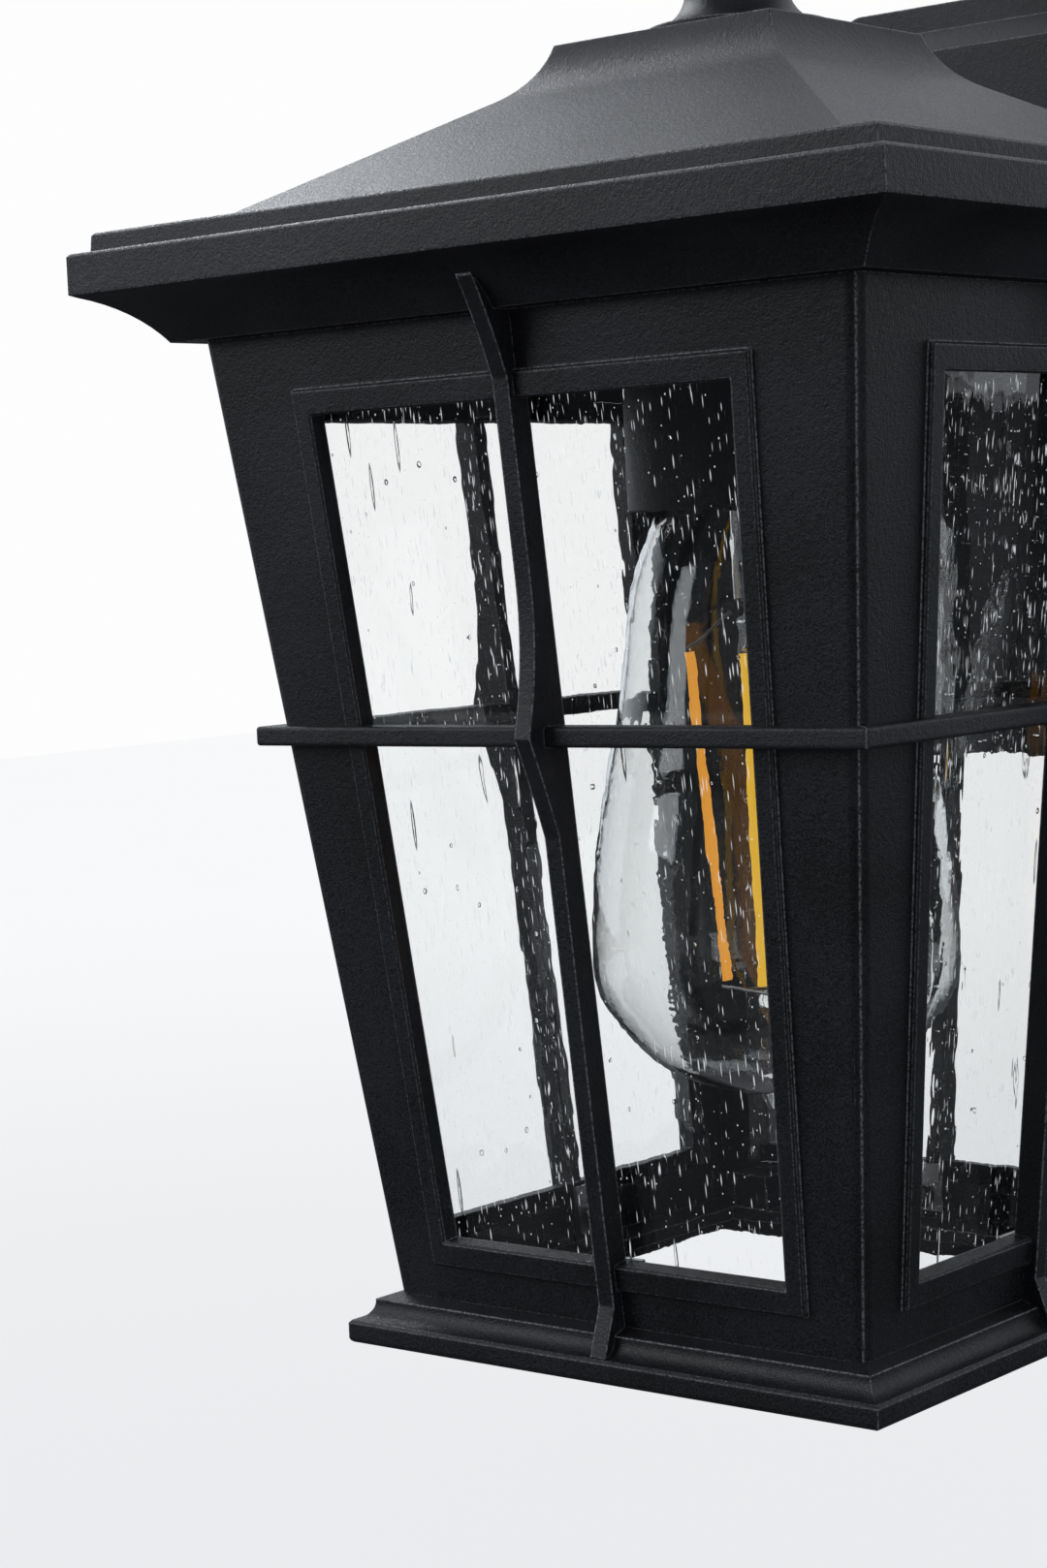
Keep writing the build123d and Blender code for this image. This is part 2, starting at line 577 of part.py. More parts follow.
# Finial
with BuildPart() as finial:
    with BuildSketch(section(SIDES["right"])):
        with BuildLine():
            sweep_low = TOP_HEIGHT + FINIAL_FOOT_THICK
            Polyline((0, TOP_HEIGHT), (FINIAL_FOOT_R, TOP_HEIGHT), (FINIAL_FOOT_R, sweep_low),
                     (FINIAL_NECK_R + FINIAL_SWEEP_R, sweep_low))
            CenterArc((FINIAL_NECK_R + FINIAL_SWEEP_R, NECK_LOW), FINIAL_SWEEP_R, -90, -90)
            Polyline((FINIAL_NECK_R, NECK_LOW), (FINIAL_NECK_R, COLLAR_LOW), (FINIAL_COLLAR_R, COLLAR_LOW),
                     (FINIAL_COLLAR_R, KNOB_MIDDLE), (0, KNOB_MIDDLE), (0, TOP_HEIGHT))
        make_face()
        with Locations((0, BEAD_LOW + FINIAL_BEAD_THICK / 2)):
            SlotOverall(2 * FINIAL_BEAD_R, FINIAL_BEAD_THICK)
        with Locations((0, KNOB_MIDDLE)):
            Ellipse(FINIAL_KNOB_R, KNOB_HALF_HEIGHT)
        with Locations((0, KNOB_MIDDLE + KNOB_HALF_HEIGHT)):
            Circle(FINIAL_TIP_R)
        with Locations((FINIAL_FOOT_R / 2, TOP_HEIGHT)):
            Rectangle(FINIAL_FOOT_R, SPAN, mode=Mode.INTERSECT)
    revolve(axis=AXIS)
    with BuildSketch(plan(TOP_HEIGHT)):
        Circle(NIPPLE_R + FIT_GAP)
    extrude(amount=FINIAL_BORE_DEPTH, mode=Mode.SUBTRACT)
finish(finial, "finial")

# Tapered cage, mitred into four side frames
with BuildPart() as cage:
    add(tapered_square(0, BODY_FOOT, BODY_HEAD))
    corner_edges = cage.edges().filter_by(lambda edge: edge.bounding_box().size.Z > BODY_FOOT)
    fillet(corner_edges, CORNER_ROUND)
    add(tapered_square(INSET, BODY_FOOT, BODY_HEAD), mode=Mode.SUBTRACT)
    for side_angle in SIDES.values():
        with BuildSketch(face(side_angle)):
            Polygon(*window(BEZEL_LOW, BEZEL_HIGH, 0), align=None)
        extrude(amount=BEZEL_RISE)
        with BuildSketch(face(side_angle, -BEZEL_RISE)):
            Polygon(*window(OPENING_LOW, OPENING_HIGH, BEZEL_WIDTH), align=None)
        extrude(amount=-BEZEL_RISE - 2 * BODY_WALL, mode=Mode.SUBTRACT)
        outward = Axis(face(side_angle).origin, face(side_angle).z_dir)
        chamfer(cage.faces().sort_by(outward)[-1].edges(), BEZEL_EASE)

frames = {}
for side, side_angle in SIDES.items():
    with BuildPart() as side_frame:
        add(cage.part)
        with BuildSketch(plan(BODY_FOOT, side_angle)):
            Polygon((0, 0), (SPAN, -SPAN), (SPAN, SPAN), align=None)
        extrude(amount=BODY_HEAD, mode=Mode.INTERSECT)
        for (reach, along), low, boss_height in ((LOW_BOSS, BODY_FOOT, LOW_BOSS_HEIGHT),
                                                 (HIGH_BOSS, BODY_HEAD - HIGH_BOSS_HEIGHT, HIGH_BOSS_HEIGHT)):
            with BuildSketch(plan(low, side_angle)):
                with Locations((reach, along)):
                    Rectangle(BOSS_SIDE, BOSS_SIDE)
            extrude(amount=boss_height)
        with BuildSketch(face(side_angle, BODY_WALL)):
            with Locations(*CLIP_PLACES):
                RegularPolygon(CLIP_BOSS_R, SHANK_SIDES)
        extrude(amount=-GLASS_THICK)
        screw_holes(face(side_angle, BODY_WALL + GLASS_THICK), CLIP_PLACES, CLIP_SCREW_R + FIT_GAP,
              -CLIP_SCREW_LENGTH)
        low_hole = LOW_BOSS_HEIGHT - BOSS_TIP
        screw_holes(plan(BODY_FOOT + low_hole, side_angle), (LOW_BOSS,), SCREW_R + FIT_GAP, low_hole)
        screw_holes(plan(BODY_HEAD, side_angle), (HIGH_BOSS,), SCREW_R + FIT_GAP, HIGH_SCREW_GRIP + BOSS_TIP)
    finish(side_frame, f"{side}_frame")
    frames[side] = side_frame.part

with BuildPart() as eave_screws:
    for side_angle in SIDES.values():
        screws(plan(FLANGE_TOP, side_angle), (HIGH_BOSS,), (SCREW_HEAD_R, SCREW_HEAD_THICK), SCREW_R,
               EAVE_WALL + HIGH_SCREW_GRIP)
finish(eave_screws, "eave_screws")

with BuildPart() as base_screws:
    for side_angle in SIDES.values():
        screws(plan(SHELF_LOW, side_angle), (LOW_BOSS,), (SCREW_HEAD_R, -SCREW_HEAD_THICK), SCREW_R,
               2 * BOSS_TIP - SHELF_THICK - LOW_BOSS_HEIGHT)
finish(base_screws, "base_screws")


# Base moulding
def base_outline():
    """Half outline of the rounded band, the slope above it and the shoulder under the body."""
    band_top = BASE_BAND - BASE_ROUND / 2
    shoulder = (SHOULDER_HALF, BODY_FOOT - SHOULDER_FALL)
    slope_foot = (BASE_HALF - BASE_ROUND / 2, BASE_BAND)
    slope_mid = ((slope_foot[0] + shoulder[0]) / 2 - COVE_SAG, (slope_foot[1] + shoulder[1]) / 2 - COVE_SAG)
    Line((0, 0), (BASE_HALF - BASE_ROUND, 0))
    CenterArc((BASE_HALF - BASE_ROUND, BASE_ROUND), BASE_ROUND, -90, 90)
    Polyline((BASE_HALF, BASE_ROUND), (BASE_HALF, band_top), slope_foot)
    ThreePointArc(slope_foot, slope_mid, shoulder)
    Polyline(shoulder, (FOOT_HALF, BODY_FOOT), (0, BODY_FOOT), (0, 0))


def base_hollow():
    """Half outline of the open room under the shelf."""
    skirt = BASE_HALF - BASE_WALL
    Polyline((0, 0), (skirt, 0), (skirt, SHELF_LOW - SKIRT_CHAMFER), (skirt - SKIRT_CHAMFER, SHELF_LOW),
             (SHELF_OPENING_HALF, SHELF_LOW), (SHELF_OPENING_HALF, BODY_FOOT), (0, BODY_FOOT), (0, 0))


base_blank = four_sided(base_outline)
base_room = four_sided(base_hollow)

with BuildPart() as base_ring:
    add(base_blank)
    add(base_room, mode=Mode.SUBTRACT)
    for side_angle in SIDES.values():
        screw_holes(plan(BODY_FOOT, side_angle), (LOW_BOSS,), SCREW_R + FIT_GAP, SHELF_THICK)
finish(base_ring, "base_ring")

# Bar ring, one mitred bar a side
with BuildPart() as bar_ring:
    bar_middle = half_at((BAR_LOW + BAR_HIGH) / 2)
    with BuildSketch(plan(BAR_LOW)):
        Rectangle(2 * (bar_middle + BAR_PROUD), 2 * (bar_middle + BAR_PROUD))
        inner_half = bar_middle - INSET + TRIM_GLASS_GAP + FLARE * BAR_THICK
        Rectangle(2 * inner_half, 2 * inner_half, mode=Mode.SUBTRACT)
    extrude(amount=BAR_THICK)
    outer_edges = bar_ring.edges().filter_by(lambda edge: furthest_out(edge) > bar_middle + BAR_PROUD / 2)
    fillet(outer_edges, BAR_ROUND)

bars = {}
for side, side_angle in SIDES.items():
    with BuildPart() as side_bar:
        add(bar_ring.part)
        with BuildSketch(plan(BAR_LOW, side_angle)):
            Polygon((0, 0), (SPAN, -SPAN), (SPAN, SPAN), align=None)
        extrude(amount=BAR_THICK, mode=Mode.INTERSECT)
        add(frames[side], mode=Mode.SUBTRACT)
    finish(side_bar, f"{side}_bar")
    bars[side] = side_bar.part


# Wavy fins
def fin_outline():
    """Outline of a fin: outer edge from the tip on the cove to the foot, then up inside what it stands on."""
    crest_height = (BAR_LOW + BAR_HIGH) / 2
    kinks = (BODY_HEAD - FIN_KINK_DROP, crest_height + FIN_SWELL_RISE, crest_height - FIN_LOW_KINK_DROP,
             BODY_FOOT + FIN_FOOT_KINK_RISE)
    straight = [proud_of_body(height, FIN_PROUD) for height in kinks]
    crest = proud_of_body(crest_height, FIN_CREST)
    swell = proud_of_body(crest_height + FIN_SWELL_MID_RISE, FIN_SWELL_MID_PROUD)
    fall = proud_of_body(crest_height - FIN_FALL_DROP, FIN_FALL_PROUD)
    tip = (COVE_LOW_HALF + FIN_TIP_OUT, BODY_HEAD + FIN_TIP_RISE)
    neck = (tip[0] - FIN_NECK_IN, tip[1] - FIN_NECK_DROP)
    foot = (BASE_HALF - FIN_FOOT_STEP, FIN_FOOT_HEIGHT)
    inner = TRIM_GLASS_GAP - INSET
    ThreePointArc(tip, neck, straight[0])
    Line(straight[0], straight[1])
    ThreePointArc(straight[1], swell, crest)
    ThreePointArc(crest, fall, straight[2])
    Polyline(straight[2], straight[3], foot, (foot[0] - FIN_BITE, foot[1]), (FOOT_HALF, BODY_FOOT - FIN_BITE),
             (FOOT_HALF + inner, BODY_FOOT), (HEAD_HALF + inner, BODY_HEAD),
             (HEAD_HALF + inner, BODY_HEAD + FIN_BITE), (COVE_LOW_HALF, BODY_HEAD + 2 * FIN_BITE),
             (tip[0] - FIN_BITE, tip[1] + FIN_BITE / 2), tip)


for side, side_angle in SIDES.items():
    with BuildPart() as side_fin:
        with BuildSketch(section(side_angle)):
            with BuildLine():
                fin_outline()
            make_face()
        extrude(amount=FIN_THICK / 2, both=True)
        if side == "back":
            with BuildSketch(plan(ARM_LOW)):
                Rectangle(SPAN, SPAN)
            extrude(amount=BODY_HEAD, mode=Mode.SUBTRACT)
        for seat in (frames[side], bars[side], eave_ring.part, base_ring.part):
            add(seat, mode=Mode.SUBTRACT)
    finish(side_fin, f"{side}_fin")

# Glass panes with the clips and screws that hold them
for side, side_angle in SIDES.items():
    with BuildPart() as pane:
        with BuildSketch(face(side_angle, BODY_WALL)):
            Polygon(*window(OPENING_LOW - GLASS_LAP, OPENING_HIGH + GLASS_LAP, BEZEL_WIDTH - GLASS_LAP),
                    align=None)
        extrude(amount=-GLASS_THICK)
    finish(pane, f"{side}_glass")

with BuildPart() as glass_clips:
    clip_shift = CLIP_LENGTH / 2 - CLIP_BOSS_R
    for side_angle in SIDES.values():
        for (along, up), inward in zip(CLIP_PLACES, (clip_shift, -clip_shift)):
            with BuildSketch(face(side_angle, BODY_WALL + GLASS_THICK)):
                with Locations((along, up + inward)):
                    Rectangle(CLIP_WIDTH, CLIP_LENGTH)
                with Locations((along, up)):
                    RegularPolygon(CLIP_SCREW_R + FIT_GAP, SHANK_SIDES, mode=Mode.SUBTRACT)
            extrude(amount=-CLIP_THICK)
finish(glass_clips, "glass_clips")

with BuildPart() as clip_screws:
    for side_angle in SIDES.values():
        screws(face(side_angle, BODY_WALL + GLASS_THICK + CLIP_THICK), CLIP_PLACES,
               (CLIP_HEAD_R, -CLIP_HEAD_THICK), CLIP_SCREW_R, BOSS_TIP - CLIP_THICK - CLIP_SCREW_LENGTH)
finish(clip_screws, "clip_screws")

# Nipple and nuts that carry the socket
with BuildPart() as nipple:
    with BuildSketch(plan(NIPPLE_LOW)):
        Circle(NIPPLE_R)
        Circle(NIPPLE_BORE_R, mode=Mode.SUBTRACT)
    extrude(amount=NIPPLE_HIGH - NIPPLE_LOW)
finish(nipple, "nipple")

with BuildPart() as nipple_nuts:
    for height in (ROOF_INNER_TOP - NUT_THICK, CUP_TOP):
        with BuildSketch(plan(height)):
            RegularPolygon(NUT_ACROSS_FLATS / 2, HEX_SIDES, major_radius=False)
            Circle(NIPPLE_R + FIT_GAP, mode=Mode.SUBTRACT)
        extrude(amount=NUT_THICK)
finish(nipple_nuts, "nipple_nuts")

# Socket cup, socket body, screw shell and contact spring
with BuildPart() as socket_cup:
    with BuildSketch(section(SIDES["right"])):
        with BuildLine():
            round_middle = (CUP_R - CUP_TOP_ROUND, CUP_TOP - CUP_TOP_ROUND)
            Line((CUP_R, CUP_MOUTH), (CUP_R, CUP_TOP - CUP_TOP_ROUND))
            CenterArc(round_middle, CUP_TOP_ROUND, 0, 90)
            Polyline((CUP_R - CUP_TOP_ROUND, CUP_TOP), (NIPPLE_R + FIT_GAP, CUP_TOP),
                     (NIPPLE_R + FIT_GAP, CUP_TOP - CUP_WALL), (CUP_R - CUP_TOP_ROUND, CUP_TOP - CUP_WALL))
            CenterArc(round_middle, CUP_TOP_ROUND - CUP_WALL, 90, -90)
            Polyline((CUP_R - CUP_WALL, CUP_TOP - CUP_TOP_ROUND), (CUP_R - CUP_WALL, CUP_MOUTH),
                     (CUP_R, CUP_MOUTH))
        make_face()
    revolve(axis=AXIS)
finish(socket_cup, "socket_cup")

with BuildPart() as socket_body:
    with BuildSketch(plan(SOCKET_LOW)):
        Circle(SOCKET_R)
    extrude(amount=SOCKET_HIGH - SOCKET_LOW)
    holes(plan(SOCKET_SEAT), ((0, 0),), SHELL_OUTER_R + FIT_GAP, SOCKET_SEAT_DEPTH)
    holes(plan(SOCKET_HIGH), ((0, 0),), NIPPLE_R + FIT_GAP, SOCKET_NIPPLE_DEPTH)
finish(socket_body, "socket_body")

with BuildPart() as socket_shell:
    with BuildSketch(plan(SOCKET_SEAT)):
        Circle(SHELL_OUTER_R)
        Circle(SHELL_INNER_R, mode=Mode.SUBTRACT)
    extrude(amount=-SOCKET_SHELL_LENGTH)
finish(socket_shell, "socket_shell")

with BuildPart() as socket_spring:
    with BuildSketch(section(SIDES["right"])):
        tongue_top = BULB_TIP + SPRING_THICK
        foot_low = SOCKET_SEAT - SPRING_THICK
        bend_end = SPRING_TONGUE_HALF + SPRING_BEND
        with BuildLine():
            Polyline((0, BULB_TIP), (SPRING_TONGUE_HALF + SPRING_THICK, BULB_TIP),
                     (bend_end + SPRING_THICK, foot_low), (SPRING_HALF_LENGTH, foot_low),
                     (SPRING_HALF_LENGTH, SOCKET_SEAT), (bend_end, SOCKET_SEAT),
                     (SPRING_TONGUE_HALF, tongue_top), (0, tongue_top), (0, BULB_TIP))
        make_face()
        mirror(about=Plane.YZ)
    extrude(amount=SPRING_WIDTH / 2, both=True)
finish(socket_spring, "socket_spring")

# Bulb glass
BULB_LINE = ((BULB_NECK_R, 0), (BULB_THROAT_R, BULB_THROAT_DROP), (BULB_WAIST_R, BULB_WAIST_DROP),
             (BULB_FLANK_R, BULB_FLANK_DROP), (BULB_HIP_R, BULB_HIP_DROP), (BULB_R, BULB_WIDE_DROP),
             (BULB_TURN_R, BULB_TURN_DROP), (BULB_UNDER_R, BULB_UNDER_DROP), (BULB_LOW_R, BULB_LOW_DROP),
             (BULB_SOLE_R, BULB_SOLE_DROP), (BULB_NIB_R, BULB_BOTTOM_DROP))
BULB_POINTS = [(radius, BULB_CAP_LOW - drop) for radius, drop in BULB_LINE]


def inset_points(points, amount):
    """Points moved square to their line by an amount, with the two ends moved along their own tangents."""
    moved = [(points[0][0] - amount, points[0][1])]
    for before, point, after in zip(points, points[1:], points[2:]):
        along = Vector(after[0] - before[0], after[1] - before[1], 0).normalized()
        moved.append((point[0] + along.Y * amount, point[1] - along.X * amount))
    moved.append((points[-1][0], points[-1][1] + amount))
    return moved


with BuildPart() as bulb_glass:
    inner_points = inset_points(BULB_POINTS, GLASS_WALL)
    ends = ((0, -1), (-1, 0))
    neck_top = BULB_CAP_LOW + BULB_NECK_LENGTH
    nib_low = BULB_BOTTOM_HEIGHT - BULB_NIB_LENGTH
    with BuildSketch(section(SIDES["right"])):
        with BuildLine():
            Line((BULB_NECK_R, neck_top), BULB_POINTS[0])
            Spline(*BULB_POINTS, tangents=ends)
            Polyline(BULB_POINTS[-1], (BULB_NIB_TIP_R, nib_low), (0, nib_low), (0, inner_points[-1][1]),
                     inner_points[-1])
            Spline(*inner_points, tangents=ends)
            Polyline(inner_points[0], (BULB_NECK_R - GLASS_WALL, neck_top), (BULB_NECK_R, neck_top))
        make_face()
    revolve(axis=AXIS)
finish(bulb_glass, "bulb_glass")

# Glass stem inside the bulb
with BuildPart() as bulb_stem:
    with BuildSketch(section(SIDES["right"])):
        with BuildLine():
            Polyline((0, STEM_FLARE_HEIGHT), (STEM_FLARE_R, STEM_FLARE_HEIGHT))
            flare_middle = (STEM_FLARE_HEIGHT + STEM_NECK_HEIGHT) / 2
            ThreePointArc((STEM_FLARE_R, STEM_FLARE_HEIGHT), (STEM_R + GLASS_WALL, flare_middle),
                          (STEM_R, STEM_NECK_HEIGHT))
            Polyline((STEM_R, STEM_NECK_HEIGHT), (STEM_R, STEM_LOW + STEM_R), (STEM_ROD_R, STEM_LOW),
                     (STEM_ROD_R, STEM_ROD_LOW), (0, STEM_ROD_LOW), (0, STEM_FLARE_HEIGHT))
        make_face()
        with Locations((0, STEM_ROD_LOW)):
            Circle(STEM_KNOB_R)
        with Locations((SPAN / 2, 0)):
            Rectangle(SPAN, SPAN * 2, mode=Mode.INTERSECT)
    revolve(axis=AXIS)
finish(bulb_stem, "bulb_stem")


def rod(start, end, radius):
    """Straight rod between two points, six-sided so that these thin pieces keep few faces."""
    direction = end - start
    with BuildSketch(Plane(origin=start, z_dir=direction.normalized())) as outline:
        RegularPolygon(radius, HEX_SIDES)
    extrude(outline.sketch, amount=direction.length)


with BuildPart() as filaments:
    for filament_angle in FILAMENT_ANGLES:
        rod(at(FILAMENT_HIGH_REACH, filament_angle, FILAMENT_HIGH),
            at(FILAMENT_LOW_REACH, filament_angle, FILAMENT_LOW), FILAMENT_R)
finish(filaments, "filaments")

with BuildPart() as filament_wires:
    ring_height = FILAMENT_LOW - FILAMENT_R - WIRE_GAP
    chord_reach = FILAMENT_LOW_REACH * cos(radians(180 / FILAMENT_COUNT))
    for filament_angle in FILAMENT_ANGLES:
        rod(at(STEM_R + WIRE_R + WIRE_GAP, filament_angle, FILAMENT_HIGH + WIRE_ROOT_RISE),
            at(FILAMENT_HIGH_REACH, filament_angle, FILAMENT_HIGH + WIRE_R + WIRE_GAP), WIRE_R)
    for first, second in zip(FILAMENT_ANGLES[0::2], FILAMENT_ANGLES[1::2]):
        between = (first + second) / 2
        start = at(FILAMENT_LOW_REACH, first, ring_height)
        end = at(FILAMENT_LOW_REACH, second, ring_height)
        overhang = (start - end).normalized() * WIRE_OVERHANG
        rod(start + overhang, end - overhang, WIRE_R)
        rod(at(WIRE_RING_R, between, ring_height), at(chord_reach, between, ring_height), WIRE_R)
    with BuildSketch(plan(ring_height - WIRE_R)):
        RegularPolygon(WIRE_RING_R + WIRE_R, SHANK_SIDES)
        Circle(STEM_ROD_R + WIRE_GAP, mode=Mode.SUBTRACT)
    extrude(amount=2 * WIRE_R)
finish(filament_wires, "filament_wires")

# Bulb cap, insulator and contact
with BuildPart() as bulb_cap:
    with BuildSketch(section(SIDES["right"])):
        cap_inner = BULB_CAP_R - BULB_CAP_WALL
        with BuildLine():
            Polyline((BULB_CAP_R, BULB_CAP_LOW), (BULB_CAP_R, BULB_CAP_HIGH - BULB_CAP_WALL),
                     (cap_inner, BULB_CAP_HIGH), (CAP_LIP_R, BULB_CAP_HIGH),
                     (CAP_LIP_R, BULB_CAP_HIGH - BULB_CAP_WALL), (cap_inner, BULB_CAP_HIGH - BULB_CAP_WALL),
                     (cap_inner, BULB_CAP_LOW), (BULB_CAP_R, BULB_CAP_LOW))
        make_face()
    revolve(axis=AXIS)
finish(bulb_cap, "bulb_cap")

with BuildPart() as bulb_insulator:
    with BuildSketch(plan(BULB_CAP_HIGH)):
        Circle(INSULATOR_LOW_R)
    with BuildSketch(plan(BUTTON_LOW)):
        Circle(INSULATOR_HIGH_R)
    loft()
finish(bulb_insulator, "bulb_insulator")

with BuildPart() as bulb_contact:
    with BuildSketch(plan(BUTTON_LOW)):
        Circle(BULB_BUTTON_R)
    extrude(amount=BULB_BUTTON_THICK)
finish(bulb_contact, "bulb_contact")

# Wall plate with raised field, open at the back
with BuildPart() as wall_plate:
    field_half = (PLATE_HALF_WIDTH - PLATE_BORDER, PLATE_HALF_HEIGHT - PLATE_BORDER)
    field_corner = PLATE_CORNER_R - PLATE_WALL
    with BuildSketch(from_wall(GASKET_THICK)):
        RectangleRounded(2 * PLATE_HALF_WIDTH, 2 * PLATE_HALF_HEIGHT, PLATE_CORNER_R)
    extrude(amount=PLATE_BORDER_DEPTH - GASKET_THICK)
    with BuildSketch(from_wall(PLATE_BORDER_DEPTH)):
        RectangleRounded(2 * field_half[0], 2 * field_half[1], field_corner)
    with BuildSketch(from_wall(PLATE_DEPTH)):
        RectangleRounded(2 * (field_half[0] - PLATE_BEVEL), 2 * (field_half[1] - PLATE_BEVEL), field_corner)
    loft()
    with BuildSketch(from_wall(GASKET_THICK)):
        Rectangle(2 * (PLATE_HALF_WIDTH - PLATE_WALL), 2 * (PLATE_HALF_HEIGHT - PLATE_WALL))
    extrude(amount=PLATE_BORDER_DEPTH - PLATE_WALL - GASKET_THICK, mode=Mode.SUBTRACT)
    with BuildSketch(from_wall(GASKET_THICK)):
        inner_field = PLATE_BEVEL + PLATE_WALL / 2
        Rectangle(2 * (field_half[0] - inner_field), 2 * (field_half[1] - inner_field))
    extrude(amount=PLATE_DEPTH - PLATE_WALL - GASKET_THICK, mode=Mode.SUBTRACT)
    holes(from_wall(PLATE_DEPTH), STUDS, STUD_R + FIT_GAP, PLATE_WALL)
    screw_holes(from_wall(PLATE_DEPTH), ARM_SCREWS, ARM_SCREW_R + FIT_GAP, PLATE_WALL)
    holes(from_wall(PLATE_DEPTH), ((0, ARM_BORE_HEIGHT - FOOT_DROP),), ARM_BORE_R, PLATE_WALL)
finish(wall_plate, "wall_plate")

with BuildPart() as plate_gasket:
    outer_half = (PLATE_HALF_WIDTH - GASKET_INSET, PLATE_HALF_HEIGHT - GASKET_INSET)
    with BuildSketch(from_wall(0)):
        RectangleRounded(2 * outer_half[0], 2 * outer_half[1], PLATE_CORNER_R)
        Rectangle(2 * (outer_half[0] - GASKET_WIDTH), 2 * (outer_half[1] - GASKET_WIDTH), mode=Mode.SUBTRACT)
    extrude(amount=GASKET_THICK)
finish(plate_gasket, "plate_gasket")

# Mounting bracket with its studs, cap nuts and ground screw
with BuildPart() as bracket:
    with BuildSketch(from_wall(0)):
        SlotOverall(2 * BRACKET_HALF_WIDTH, BRACKET_WIDTH)
        SlotOverall(2 * BRACKET_HALF_HEIGHT, BRACKET_WIDTH, rotation=90)
        with Locations(*STUDS):
            Circle(STUD_R + FIT_GAP, mode=Mode.SUBTRACT)
        with Locations((GROUND_REACH, 0)):
            RegularPolygon(GROUND_R + FIT_GAP, SHANK_SIDES, mode=Mode.SUBTRACT)
        with GridLocations(0, 2 * SLOT_REACH, 1, 2):
            SlotOverall(SLOT_LENGTH, 2 * SLOT_R, rotation=90, mode=Mode.SUBTRACT)
    extrude(amount=BRACKET_THICK)
finish(bracket, "mounting_bracket")

with BuildPart() as plate_studs:
    with BuildSketch(from_wall(0)):
        with Locations(*STUDS):
            Circle(STUD_R)
    extrude(amount=STUD_OUT)
    with BuildSketch(from_wall(BRACKET_THICK)):
        with Locations(*STUDS):
            Circle(STUD_COLLAR_R)
    extrude(amount=STUD_COLLAR_THICK)
finish(plate_studs, "plate_studs")

with BuildPart() as cap_nuts:
    for stud_x, stud_z in STUDS:
        dome_low = CAP_NUT_FLANGE_THICK + CAP_NUT_NECK
        with BuildSketch(Plane(origin=(stud_x, -PLATE_DEPTH, stud_z), x_dir=(1, 0, 0), z_dir=(0, 0, -1))):
            with BuildLine():
                Polyline((0, dome_low + CAP_NUT_R), (0, 0), (CAP_NUT_FLANGE_R, 0),
                         (CAP_NUT_FLANGE_R, CAP_NUT_FLANGE_THICK), (CAP_NUT_R, CAP_NUT_FLANGE_THICK),
                         (CAP_NUT_R, dome_low))
                CenterArc((0, dome_low), CAP_NUT_R, 0, 90)
            make_face()
        revolve(axis=Axis((stud_x, 0, stud_z), (0, 1, 0)))
    with BuildSketch(from_wall(PLATE_DEPTH)):
        with Locations(*STUDS):
            Circle(STUD_R + FIT_GAP)
    extrude(amount=STUD_OUT + CAP_NUT_TIP_GAP - PLATE_DEPTH, mode=Mode.SUBTRACT)
finish(cap_nuts, "cap_nuts")

with BuildPart() as ground_screw:
    screws(from_wall(BRACKET_THICK), ((GROUND_REACH, 0),), (GROUND_HEAD_R, GROUND_HEAD_THICK), GROUND_R,
           BRACKET_THICK)
finish(ground_screw, "ground_screw")

# Rear arm between wall plate and eave ring
with BuildPart() as rear_arm:
    with BuildSketch(section(SIDES["back"])):
        Polygon((ARM_OUT, ARM_LOW), (half_at(ARM_LOW), ARM_LOW), (HEAD_HALF, BODY_HEAD),
                (COVE_LOW_HALF, BODY_HEAD), (COVE_HIGH_HALF, COVE_TOP), (EAVE_HALF, EAVE_LOW),
                (EAVE_HALF, ARM_HIGH), (ARM_OUT, ARM_HIGH), align=None)
    extrude(amount=ARM_HALF_WIDTH, both=True)
    with BuildSketch(from_wall(0)):
        with Locations((0, ARM_HEIGHT - FOOT_DROP)):
            RectangleRounded(2 * ARM_HALF_WIDTH, ARM_HIGH - ARM_LOW, ARM_ROUND)
    extrude(amount=WALL_REACH, mode=Mode.INTERSECT)
    with BuildSketch(from_wall(PLATE_DEPTH)):
        with Locations((0, ARM_HEIGHT - FOOT_DROP)):
            RectangleRounded(2 * (ARM_HALF_WIDTH + ARM_FLANGE_MARGIN),
                             ARM_HIGH - ARM_LOW + 2 * ARM_FLANGE_MARGIN, ARM_FLANGE_ROUND)
    extrude(amount=ARM_FLANGE_THICK)
    with BuildSketch(from_wall(PLATE_DEPTH + ARM_FLANGE_THICK)):
        with Locations((0, ARM_HEIGHT - FOOT_DROP)):
            RectangleRounded(2 * (ARM_HALF_WIDTH + ARM_COLLAR), ARM_HIGH - ARM_LOW + 2 * ARM_COLLAR,
                             ARM_ROUND + ARM_COLLAR)
    extrude(amount=ARM_COLLAR, taper=45)
    holes(from_wall(WALL_REACH), ((0, ARM_BORE_HEIGHT - FOOT_DROP),), ARM_BORE_R, WALL_REACH)
    screw_holes(from_wall(PLATE_DEPTH + ARM_SCREW_GRIP + BOSS_TIP), ARM_SCREWS, ARM_SCREW_R + FIT_GAP,
          ARM_SCREW_GRIP + BOSS_TIP)
    screw_holes(from_wall(WALL_REACH), ARM_SCREWS, ARM_SCREW_R + FIT_GAP,
                EAVE_HALF + ARM_SCREW_GRIP + BOSS_TIP)
finish(rear_arm, "rear_arm")

